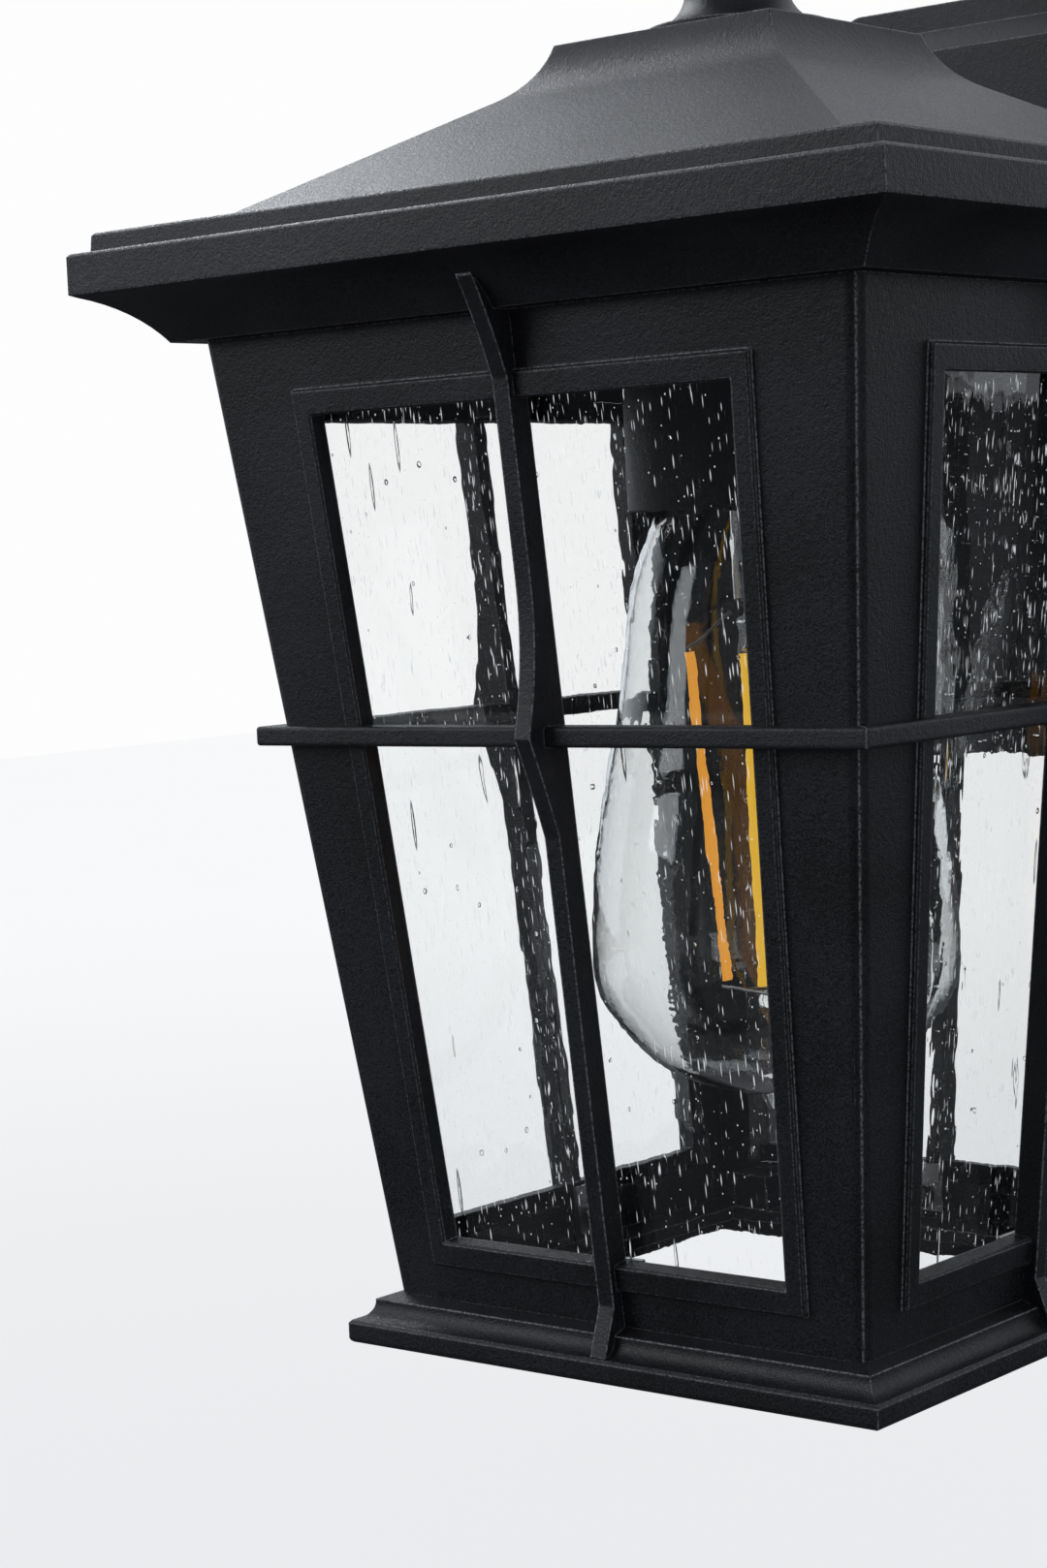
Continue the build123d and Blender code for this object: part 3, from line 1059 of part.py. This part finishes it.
with BuildPart() as arm_screws:
    inside_plate = PLATE_DEPTH - PLATE_WALL
    facing_wall = Plane(origin=(0, -inside_plate, 0), x_dir=(-1, 0, 0), z_dir=(0, 1, 0))
    screws(facing_wall, ARM_SCREWS, (ARM_HEAD_R, ARM_HEAD_THICK), ARM_SCREW_R, PLATE_WALL + ARM_SCREW_GRIP)
    screws(from_wall(WALL_REACH - EAVE_PAD_HALF), ARM_SCREWS, (ARM_HEAD_R, ARM_HEAD_THICK), ARM_SCREW_R,
           EAVE_HALF - EAVE_PAD_HALF + ARM_SCREW_GRIP)
finish(arm_screws, "arm_screws")
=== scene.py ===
import json
import math

import bpy
from mathutils import Matrix, Vector


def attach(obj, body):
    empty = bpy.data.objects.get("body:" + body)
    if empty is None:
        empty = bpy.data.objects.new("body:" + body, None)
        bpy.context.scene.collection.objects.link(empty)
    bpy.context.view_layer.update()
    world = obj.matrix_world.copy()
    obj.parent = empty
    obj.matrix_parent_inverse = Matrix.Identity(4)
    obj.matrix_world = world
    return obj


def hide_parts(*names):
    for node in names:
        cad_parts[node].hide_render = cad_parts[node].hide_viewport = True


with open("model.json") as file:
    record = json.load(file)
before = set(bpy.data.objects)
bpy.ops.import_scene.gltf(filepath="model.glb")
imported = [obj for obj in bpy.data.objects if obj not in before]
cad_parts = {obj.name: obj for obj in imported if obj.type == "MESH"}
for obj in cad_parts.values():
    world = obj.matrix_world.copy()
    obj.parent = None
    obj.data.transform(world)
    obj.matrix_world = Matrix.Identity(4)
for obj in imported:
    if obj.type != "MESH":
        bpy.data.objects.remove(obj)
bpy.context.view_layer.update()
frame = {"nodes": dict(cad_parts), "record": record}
nodes = frame["nodes"]

# Where the lantern stands in the row frame, in metres
AXIS_Y = -0.138
FOOT_Z = -0.1725

# Coat, glass and filaments
# Light colour painted into the coat: a painted highlight along its edges, and the light specks on its faces
EDGE_GLINT = (0.55, 0.55, 0.58, 1.0)
EDGE_RADIUS = 0.0006        # how far from an edge its painted glint reaches
COAT_IOR = 1.46
LIGHT_SPECK_SHARE = 0.035          # strength of the light specks away from the edges
GLASS_IOR = 1.5
GLASS_TINT = (0.988, 0.992, 0.992, 1.0)
# Painted shade: dark colour for the rims round the bubbles, in place of the light their edges bend away
BUBBLE_RIM_SHADE = (0.18, 0.19, 0.20, 1.0)
LAMP_TINT = (0.93, 0.96, 1.0)
SPARK_GLOW = 0.80           # brightness of the painted highlight on the fine seeds, which glow by emission
SPARK_SHARE = 0.85          # how far the seeds' painted glow takes the place of the glass
PANE_REACH = 0.035          # beyond this from the axis lie the rear and the left panes
# Painted light: the filament coat glows by this emission though the bulb is not lit
FILAMENT_GLOW = 0.75
ORANGE = (0.92, 0.37, 0.035, 1.0)
YELLOW = (0.98, 0.56, 0.035, 1.0)
PALE_ORANGE = (1.0, 0.62, 0.16, 1.0)

# Layers of bubbles and of seeds in the glass: cells per metre, stretch, share of the cells, size
BUBBLE_LAYERS = ((75.0, 1.15, 0.30, 0.026), (170.0, 11.0, 0.22, 0.050))
SPECK_LAYERS = ((330.0, 1.3, 0.40, 0.045), (480.0, 8.0, 0.70, 0.060), (620.0, 14.0, 0.60, 0.055))

# Backdrop and floor
BACKDROP_WHITE = 0.985
GLASS_LIFT = 0.12           # makes up for what the panes take from the backdrop
FLOOR_SIZE = 14.0
FLOOR_DROP = 0.42           # floor below the lantern's foot
FLOOR_NEAR = 0.9            # the floor pales from here
FLOOR_FAR = 4.5             # to here
FLOOR_GREY = (0.835, 0.845, 0.862, 1)
FLOOR_PALE = (0.975, 0.978, 0.985, 1)
FLOOR_GLOW = 0.93
BEHIND = (-0.58, 0.80, 0.0)     # away from the camera, level

# Camera, as measured from the photograph
PHOTO_WIDTH = 1080
PHOTO_HEIGHT = 1618
SENSOR_WIDTH = 36.0
FOCAL_PIXELS = 3261.0
NEAR_CLIP = 0.01
CAMERA_ANGLES = (39.899, 4.243, -2.604)     # azimuth, elevation and roll, in degrees
CAMERA_DISTANCE = 0.56821
TARGET_ASIDE = -0.04391
TARGET_RISE = 0.09869       # over the lantern's foot


# Node helpers
def new_material(name):
    """Empty node material with its output; returns material, tree and output node."""
    material = bpy.data.materials.new(name)
    material.use_nodes = True
    tree = material.node_tree
    tree.nodes.clear()
    return material, tree, tree.nodes.new("ShaderNodeOutputMaterial")


def add(tree, kind, settings=(), **inputs):
    """New node with its settings and input values; an input given as a socket is linked."""
    node = tree.nodes.new("ShaderNode" + kind)
    for key, value in dict(settings).items():
        setattr(node, key, value)
    for key, value in inputs.items():
        socket = find_input(node, key)
        if isinstance(value, bpy.types.NodeSocket):
            tree.links.new(value, socket)
        else:
            socket.default_value = value
    return node


def find_input(node, key):
    """Input by index such as i0, or by name with underscores for spaces."""
    if key[0] == "i" and key[1:].isdigit():
        return node.inputs[int(key[1:])]
    return node.inputs[key.replace("_", " ")]


def maths(tree, operation, first, second=0.0, clamp=False):
    """Math node's output."""
    return add(tree, "Math", {"operation": operation, "use_clamp": clamp}, i0=first, i1=second).outputs[0]


def ramp(tree, value, low, high, out_low=0.0, out_high=1.0):
    """Value mapped smoothly from one range to another."""
    node = add(tree, "MapRange", {"interpolation_type": "SMOOTHSTEP"}, Value=value,
               From_Min=low, From_Max=high, To_Min=out_low, To_Max=out_high)
    return node.outputs[0]


def blend(tree, factor, first, second):
    """Colour mixed from first to second."""
    node = add(tree, "Mix", {"data_type": "RGBA"}, i0=factor, i6=first, i7=second)
    return node.outputs[2]


def here(tree, scale=(1, 1, 1)):
    """Object coordinates, scaled."""
    coords = tree.nodes.new("ShaderNodeTexCoord").outputs["Object"]
    return add(tree, "Mapping", Vector=coords, Scale=scale).outputs[0]


def noise(tree, where, scale, detail=3.0):
    """Noise value."""
    return add(tree, "TexNoise", Vector=where, Scale=scale, Detail=detail).outputs[0]


def edge_mask(tree, radius, samples=6):
    """Bevelled normal, and a value that rises near edges."""
    bevel = add(tree, "Bevel", {"samples": samples}, Radius=radius).outputs[0]
    normal = tree.nodes.new("ShaderNodeNewGeometry").outputs["Normal"]
    closeness = add(tree, "VectorMath", {"operation": "DOT_PRODUCT"}, i0=bevel, i1=normal).outputs["Value"]
    return bevel, ramp(tree, closeness, 0.985, 0.82)


def powder_coat(name, base, lift, grain, edge_glint_share):
    """Fine-textured black coat with a painted glint: light grains painted into its colour along the edges."""
    material, tree, out = new_material(name)
    where = here(tree)
    fine = noise(tree, where, grain, 3.0)
    coarse = noise(tree, where, grain * 0.36, 2.0)
    broad = noise(tree, where, 38.0, 2.0)
    height = maths(tree, "ADD", maths(tree, "MULTIPLY", fine, 0.6), maths(tree, "MULTIPLY", coarse, 0.5))
    bevel, edge = edge_mask(tree, EDGE_RADIUS)
    specks = ramp(tree, noise(tree, where, grain * 0.8, 1.0), 0.36, 0.62, 0.15, 1.0)
    # Painted highlight: light specks painted into the coat's colour along its edges, as a glint
    painted_edge_glint = maths(tree, "MULTIPLY", maths(tree, "MULTIPLY", edge, specks), edge_glint_share, clamp=True)
    light_specks = ramp(tree, noise(tree, where, grain * 0.8, 1.0), 0.62, 0.78, 0.0, LIGHT_SPECK_SHARE)
    mottled = maths(tree, "ADD", maths(tree, "MULTIPLY", broad, 0.35), maths(tree, "MULTIPLY", fine, 0.65))
    tone = blend(tree, ramp(tree, mottled, 0.41, 0.59), base, lift)
    colour = blend(tree, maths(tree, "MAXIMUM", painted_edge_glint, light_specks), tone, EDGE_GLINT)
    rough = ramp(tree, fine, 0.3, 0.7, 0.36, 0.58)
    bump = add(tree, "Bump", Strength=0.8, Distance=0.0002, Height=height, Normal=bevel).outputs[0]
    shader = add(tree, "BsdfPrincipled", Base_Color=colour, Roughness=rough, Normal=bump)
    shader.inputs["IOR"].default_value = COAT_IOR
    tree.links.new(shader.outputs[0], out.inputs[0])
    return material


def metal(name, colour, rough, grain=600.0):
    """Bare metal with faint grain."""
    material, tree, out = new_material(name)
    where = here(tree)
    fine = noise(tree, where, grain, 3.0)
    tone = blend(tree, fine, [0.8 * part for part in colour] + [1.0], list(colour) + [1.0])
    bump = add(tree, "Bump", Strength=0.1, Distance=0.0001, Height=fine).outputs[0]
    shader = add(tree, "BsdfPrincipled", Base_Color=tone, Metallic=1.0, Normal=bump,
                 Roughness=ramp(tree, fine, 0.2, 0.8, rough, rough + 0.12))
    tree.links.new(shader.outputs[0], out.inputs[0])
    return material


def matte(name, colour, rough, grain=900.0, bumpiness=0.15):
    """Plain moulded or foamed stuff with a fine surface."""
    material, tree, out = new_material(name)
    where = here(tree)
    fine = noise(tree, where, grain, 3.0)
    tone = blend(tree, fine, [0.75 * part for part in colour] + [1.0], list(colour) + [1.0])
    bump = add(tree, "Bump", Strength=bumpiness, Distance=0.0002, Height=fine).outputs[0]
    shader = add(tree, "BsdfPrincipled", Base_Color=tone, Roughness=rough, Normal=bump)
    tree.links.new(shader.outputs[0], out.inputs[0])
    return material


def pane_place(tree):
    """Place on a pane's face: along the pane and up, whichever way the pane faces."""
    place = add(tree, "SeparateXYZ", i0=here(tree)).outputs
    shape = tree.nodes.new("ShaderNodeNewGeometry").outputs
    facing = add(tree, "SeparateXYZ", i0=shape["True Normal"]).outputs
    sideways = maths(tree, "GREATER_THAN", maths(tree, "ABSOLUTE", facing[0]), 0.7)
    along = add(tree, "Mix", {"data_type": "FLOAT"}, i0=sideways, i2=place[0], i3=place[1]).outputs[0]
    rear_half = maths(tree, "GREATER_THAN", place[1], AXIS_Y + PANE_REACH)
    left_half = maths(tree, "LESS_THAN", place[0], -PANE_REACH)
    pane = add(tree, "Mix", {"data_type": "FLOAT"}, i0=sideways, i2=maths(tree, "MULTIPLY", rear_half, 2.1),
               i3=maths(tree, "MULTIPLY", left_half, 1.3)).outputs[0]
    far_face = maths(tree, "MULTIPLY", shape["Backfacing"], 3.3)
    shifted = maths(tree, "ADD", maths(tree, "ADD", along, pane), far_face)
    return add(tree, "CombineXYZ", X=shifted, Y=place[2]).outputs[0]


def seeds(tree, place, scale, stretch, share, size):
    """Bubbles strewn over the pane: returns their domes and the rings round them."""
    spots = add(tree, "Mapping", Vector=place, Scale=(scale, scale / stretch, 1.0)).outputs[0]
    cells = add(tree, "TexVoronoi", {"feature": "F1", "voronoi_dimensions": "2D"}, Vector=spots, Scale=1.0,
                Randomness=1.0)
    pick = add(tree, "SeparateColor", i0=cells.outputs["Color"]).outputs
    radius = maths(tree, "MULTIPLY", maths(tree, "ADD", pick[1], 0.5), size)
    chosen = maths(tree, "LESS_THAN", pick[0], share)
    inside = maths(tree, "DIVIDE", cells.outputs["Distance"], radius)
    dome = maths(tree, "MULTIPLY", ramp(tree, inside, 1.0, 0.3), chosen)
    ring = maths(tree, "MULTIPLY", ramp(tree, inside, 1.15, 0.95), ramp(tree, inside, 0.6, 0.85))
    return dome, maths(tree, "MULTIPLY", ring, chosen)


def strongest(tree, values):
    """Largest of several values."""
    most = values[0]
    for value in values[1:]:
        most = maths(tree, "MAXIMUM", most, value)
    return most


def seeded_glass():
    """Clear glass with round bubbles, long drawn ones and a host of fine upright seeds that glow as painted
    highlights.
    """
    material, tree, out = new_material("seeded_glass")
    place = pane_place(tree)
    bubbles = [seeds(tree, place, *layer) for layer in BUBBLE_LAYERS]
    specks = [seeds(tree, place, *layer) for layer in SPECK_LAYERS]
    domes = strongest(tree, [dome for dome, ring in bubbles])
    rings = strongest(tree, [ring for dome, ring in bubbles])
    sparks = strongest(tree, [dome for dome, ring in specks])
    wavy = add(tree, "TexNoise", Vector=here(tree), Scale=26.0, Detail=3.0).outputs[0]
    ripple = add(tree, "TexNoise", Vector=here(tree, (1.0, 1.0, 0.3)), Scale=520.0, Detail=1.0).outputs[0]
    swell = maths(tree, "ADD", maths(tree, "MULTIPLY", wavy, 1.3), maths(tree, "MULTIPLY", ripple, 0.05))
    total = maths(tree, "ADD", maths(tree, "MULTIPLY", domes, 0.8), swell)
    bump = add(tree, "Bump", Strength=0.5, Distance=0.00035, Height=total).outputs[0]
    # Painted shade: the glass is darkened in a ring round each bubble
    tint = blend(tree, rings, GLASS_TINT, BUBBLE_RIM_SHADE)
    glass = add(tree, "BsdfGlass", Color=tint, Roughness=0.0, IOR=GLASS_IOR, Normal=bump)
    # Painted highlight: the fine seeds glow pale white by emission, though they are no lamp
    spark = add(tree, "Emission", Color=(*LAMP_TINT, 1.0), Strength=SPARK_GLOW)
    seed_glow_share = maths(tree, "MULTIPLY", sparks, SPARK_SHARE)
    mixed = add(tree, "MixShader", i0=seed_glow_share, i1=glass.outputs[0], i2=spark.outputs[0])
    tree.links.new(mixed.outputs[0], out.inputs[0])
    return material


def clear_glass(name, tint):
    """Smooth clear glass."""
    material, tree, out = new_material(name)
    wavy = noise(tree, here(tree), 45.0, 1.0)
    bump = add(tree, "Bump", Strength=0.15, Distance=0.0004, Height=wavy).outputs[0]
    glass = add(tree, "BsdfGlass", Color=tint, Roughness=0.0, IOR=GLASS_IOR, Normal=bump)
    tree.links.new(glass.outputs[0], out.inputs[0])
    return material


def filament_coat():
    """Matte coat on the filaments, orange on one side of the bulb and yellow on the other, with a painted
    glow of its own.
    """
    material, tree, out = new_material("filament_coat")
    where = tree.nodes.new("ShaderNodeTexCoord").outputs["Object"]
    along_x = add(tree, "SeparateXYZ", i0=where).outputs[0]
    side = ramp(tree, along_x, -0.002, 0.004)
    fine = noise(tree, here(tree), 1500.0, 2.0)
    tone = blend(tree, side, ORANGE, YELLOW)
    tone = blend(tree, maths(tree, "MULTIPLY", fine, 0.2), tone, PALE_ORANGE)
    # Painted light: emission makes the coat glow though the bulb is not lit
    shader = add(tree, "BsdfPrincipled", Base_Color=tone, Roughness=0.45, Emission_Color=tone,
                 Emission_Strength=FILAMENT_GLOW)
    tree.links.new(shader.outputs[0], out.inputs[0])
    return material


looks = {
    "powder_coat": powder_coat("powder_coat", (0.005, 0.0053, 0.0075, 1), (0.026, 0.0265, 0.033, 1),
                               2800.0, 1.0),
    "socket_cup_metal": powder_coat("socket_cup_metal", (0.02, 0.02, 0.022, 1), (0.03, 0.03, 0.033, 1),
                                    3600.0, 0.1),
    "seeded_glass": seeded_glass(),
    "bulb_clear_glass": clear_glass("bulb_clear_glass", (0.985, 0.99, 0.99, 1.0)),
    "filament_coating": filament_coat(),
    "wire_metal": metal("wire_metal", (0.45, 0.44, 0.42), 0.25),
    "cap_metal": metal("cap_metal", (0.75, 0.74, 0.72), 0.2),
    "contact_metal": metal("contact_metal", (0.72, 0.52, 0.25), 0.25),
    "insulator": matte("insulator", (0.02, 0.02, 0.022), 0.15),
    "socket_plastic": matte("socket_plastic", (0.025, 0.025, 0.027), 0.5),
    "zinc_plated": metal("zinc_plated", (0.62, 0.62, 0.6), 0.32),
    "black_screws": powder_coat("black_screws", (0.008, 0.008, 0.009, 1), (0.012, 0.012, 0.014, 1),
                                3600.0, 0.4),
    "ground_brass": matte("ground_green", (0.03, 0.22, 0.06), 0.35),
    "gasket_foam": matte("gasket_foam", (0.03, 0.03, 0.032), 0.9, 1800.0, 0.6),
}
for subpart in frame["record"]["subparts"]:
    item = nodes[subpart["node"]]
    item.data.materials.clear()
    item.data.materials.append(looks[subpart["material_slot"]])


# Bulb cap with its rolled screw thread
CAP_FOOT = -0.0185
CAP_HEAD = 0.0035
THREAD_PITCH = 0.003629
THREAD_MIDDLE_R = 0.01272
THREAD_DEPTH = 0.00027
CAP_BORE_R = 0.01235
CAP_LIP_R = 0.011
CAP_RIM = 0.0005
THREAD_RUN_OUT = 0.0025
CAP_SEGMENTS = 72
CAP_ROWS = 56


def thread_radius(height, turn):
    """Outer radius of the threaded cap at a height and an angle."""
    fade = min(1.0, (height - CAP_FOOT) / THREAD_RUN_OUT, (CAP_HEAD - height) / THREAD_RUN_OUT)
    return THREAD_MIDDLE_R + THREAD_DEPTH * fade * math.cos(2 * math.pi * height / THREAD_PITCH - turn)


def threaded_cap():
    """Cap of the bulb with a right-handed thread, in the row frame."""
    top = CAP_HEAD - 2 * CAP_RIM
    rows = [CAP_FOOT + (top - CAP_FOOT) * step / (CAP_ROWS - 1) for step in range(CAP_ROWS)]
    closing = [(CAP_HEAD, THREAD_MIDDLE_R - 2 * CAP_RIM), (CAP_HEAD, CAP_LIP_R), (top, CAP_LIP_R),
               (top, CAP_BORE_R), (CAP_FOOT, CAP_BORE_R)]
    points = []
    for step in range(CAP_SEGMENTS):
        turn = 2 * math.pi * step / CAP_SEGMENTS
        line = [(height, thread_radius(height, turn)) for height in rows] + closing
        points += [(radius * math.cos(turn), AXIS_Y + radius * math.sin(turn), height)
                   for height, radius in line]
    count = CAP_ROWS + len(closing)
    faces = []
    for step in range(CAP_SEGMENTS):
        here_row, next_row = step * count, (step + 1) % CAP_SEGMENTS * count
        for index in range(count):
            after = (index + 1) % count
            faces.append((here_row + index, next_row + index, next_row + after, here_row + after))
    mesh = bpy.data.meshes.new("threaded_cap")
    mesh.from_pydata(points, [], faces)
    mesh.shade_smooth()
    mesh.set_sharp_from_angle(angle=math.radians(50))
    cap = bpy.data.objects.new("threaded_cap", mesh)
    bpy.context.scene.collection.objects.link(cap)
    mesh.materials.append(looks["cap_metal"])
    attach(cap, "bulb")
    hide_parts("bulb_cap")


threaded_cap()


# Studio: floor, surroundings and lights
def seen_white(tree):
    """Whether the backdrop is seen straight or through glass, and how bright it then is."""
    path = tree.nodes.new("ShaderNodeLightPath").outputs
    bounces = maths(tree, "ADD", path["Diffuse Depth"], path["Glossy Depth"])
    straight = maths(tree, "SUBTRACT", 1.0, maths(tree, "GREATER_THAN", bounces, 0.5))
    through_glass = maths(tree, "MULTIPLY", path["Is Transmission Ray"], straight)
    seen = maths(tree, "MAXIMUM", path["Is Camera Ray"], through_glass)
    return seen, maths(tree, "ADD", maths(tree, "MULTIPLY", through_glass, GLASS_LIFT), BACKDROP_WHITE)


def make_floor():
    """Large pale floor, slightly greyer close by, that fades into the surroundings."""
    bpy.ops.mesh.primitive_plane_add(size=FLOOR_SIZE, location=(0.0, AXIS_Y, FOOT_Z - FLOOR_DROP))
    floor = bpy.context.object
    floor.name = "studio_floor"
    material, tree, out = new_material("studio_floor")
    coords = tree.nodes.new("ShaderNodeTexCoord").outputs["Object"]
    reach = add(tree, "VectorMath", {"operation": "LENGTH"}, i0=coords).outputs["Value"]
    tone = blend(tree, ramp(tree, reach, FLOOR_NEAR, FLOOR_FAR), FLOOR_GREY, FLOOR_PALE)
    mottle = noise(tree, coords, 2.0, 2.0)
    dim = blend(tree, mottle, (0.11, 0.11, 0.115, 1), (0.14, 0.14, 0.145, 1))
    diffuse = add(tree, "BsdfDiffuse", Color=dim)
    seen, strength = seen_white(tree)
    glow = add(tree, "Emission", Color=tone, Strength=maths(tree, "MULTIPLY", strength, FLOOR_GLOW))
    shadowed = add(tree, "AddShader", i0=glow.outputs[0], i1=diffuse.outputs[0])
    mixed = add(tree, "MixShader", i0=seen, i1=diffuse.outputs[0], i2=shadowed.outputs[0])
    tree.links.new(mixed.outputs[0], out.inputs[0])
    floor.data.materials.append(material)


def make_world():
    """White surroundings for the camera; for light, bright behind and above and dim in front."""
    world = bpy.data.worlds.new("studio")
    bpy.context.scene.world = world
    world.use_nodes = True
    tree = world.node_tree
    tree.nodes.clear()
    direction = tree.nodes.new("ShaderNodeTexCoord").outputs["Generated"]
    parts = add(tree, "SeparateXYZ", i0=direction).outputs
    backward = add(tree, "VectorMath", {"operation": "DOT_PRODUCT"}, i0=direction, i1=BEHIND).outputs["Value"]
    behind = ramp(tree, backward, -0.1, 0.6, 0.0, 0.95)
    front = ramp(tree, parts[2], -0.15, 0.35, 0.26, 0.08)
    above = ramp(tree, parts[2], 0.35, 0.9, 0.0, 0.16)
    lit = strongest(tree, [behind, front, above])
    strength = maths(tree, "MULTIPLY", lit, ramp(tree, parts[2], -0.55, -0.15, 0.15, 1.0))
    seen, white = seen_white(tree)
    final = add(tree, "Mix", {"data_type": "FLOAT"}, i0=seen, i2=strength, i3=white).outputs[0]
    tint = blend(tree, seen, (0.90, 0.94, 1.0, 1.0), (1.0, 1.0, 1.0, 1.0))
    shade = add(tree, "Background", Color=tint, Strength=final)
    out = tree.nodes.new("ShaderNodeOutputWorld")
    tree.links.new(shade.outputs[0], out.inputs[0])


def soft_box(name, place, target, size, power):
    """Area light aimed at a point."""
    data = bpy.data.lights.new(name, "AREA")
    data.shape = "RECTANGLE"
    data.size, data.size_y = size
    data.energy = power
    data.color = LAMP_TINT
    light = bpy.data.objects.new(name, data)
    bpy.context.scene.collection.objects.link(light)
    light.location = place
    light.rotation_euler = (Vector(target) - Vector(place)).to_track_quat("-Z", "Y").to_euler()
    light.visible_camera = False


make_floor()
make_world()
middle = (0.0, AXIS_Y, FOOT_Z + 0.11)
slope_foot = (-0.05, AXIS_Y - 0.062, FOOT_Z + 0.205)
soft_box("key_left", (-1.1, -1.3, 0.7), middle, (0.9, 1.2), 9.0)
soft_box("fill_right", (1.4, -0.7, 0.4), middle, (0.6, 1.4), 3.6)
soft_box("top", (0.1, -0.2, 1.5), middle, (1.4, 1.4), 2.0)
soft_box("slope_glow", (-0.37, -0.06, 0.33), slope_foot, (0.16, 0.16), 0.75)


# Camera
def place_camera():
    """Camera at the photograph's place, direction and roll."""
    data = bpy.data.cameras.new("photo_camera")
    data.sensor_width = SENSOR_WIDTH
    data.sensor_fit = "AUTO"
    data.lens = FOCAL_PIXELS * SENSOR_WIDTH / PHOTO_HEIGHT
    data.clip_start = NEAR_CLIP
    camera = bpy.data.objects.new("photo_camera", data)
    bpy.context.scene.collection.objects.link(camera)
    azimuth, elevation, roll = (math.radians(angle) for angle in CAMERA_ANGLES)
    back = Vector((math.sin(azimuth) * math.cos(elevation), -math.cos(azimuth) * math.cos(elevation),
                   math.sin(elevation)))
    right = (-back).cross(Vector((0, 0, 1))).normalized()
    up = right.cross(-back)
    right_rolled = right * math.cos(roll) + up * math.sin(roll)
    up_rolled = up * math.cos(roll) - right * math.sin(roll)
    target = right * TARGET_ASIDE + Vector((0.0, AXIS_Y, FOOT_Z + TARGET_RISE))
    turn = Matrix((right_rolled, up_rolled, back)).transposed().to_4x4()
    camera.matrix_world = Matrix.Translation(target + back * CAMERA_DISTANCE) @ turn
    bpy.context.scene.camera = camera


place_camera()
settings = bpy.context.scene
settings.render.resolution_x = PHOTO_WIDTH
settings.render.resolution_y = PHOTO_HEIGHT
settings.view_settings.view_transform = "Standard"
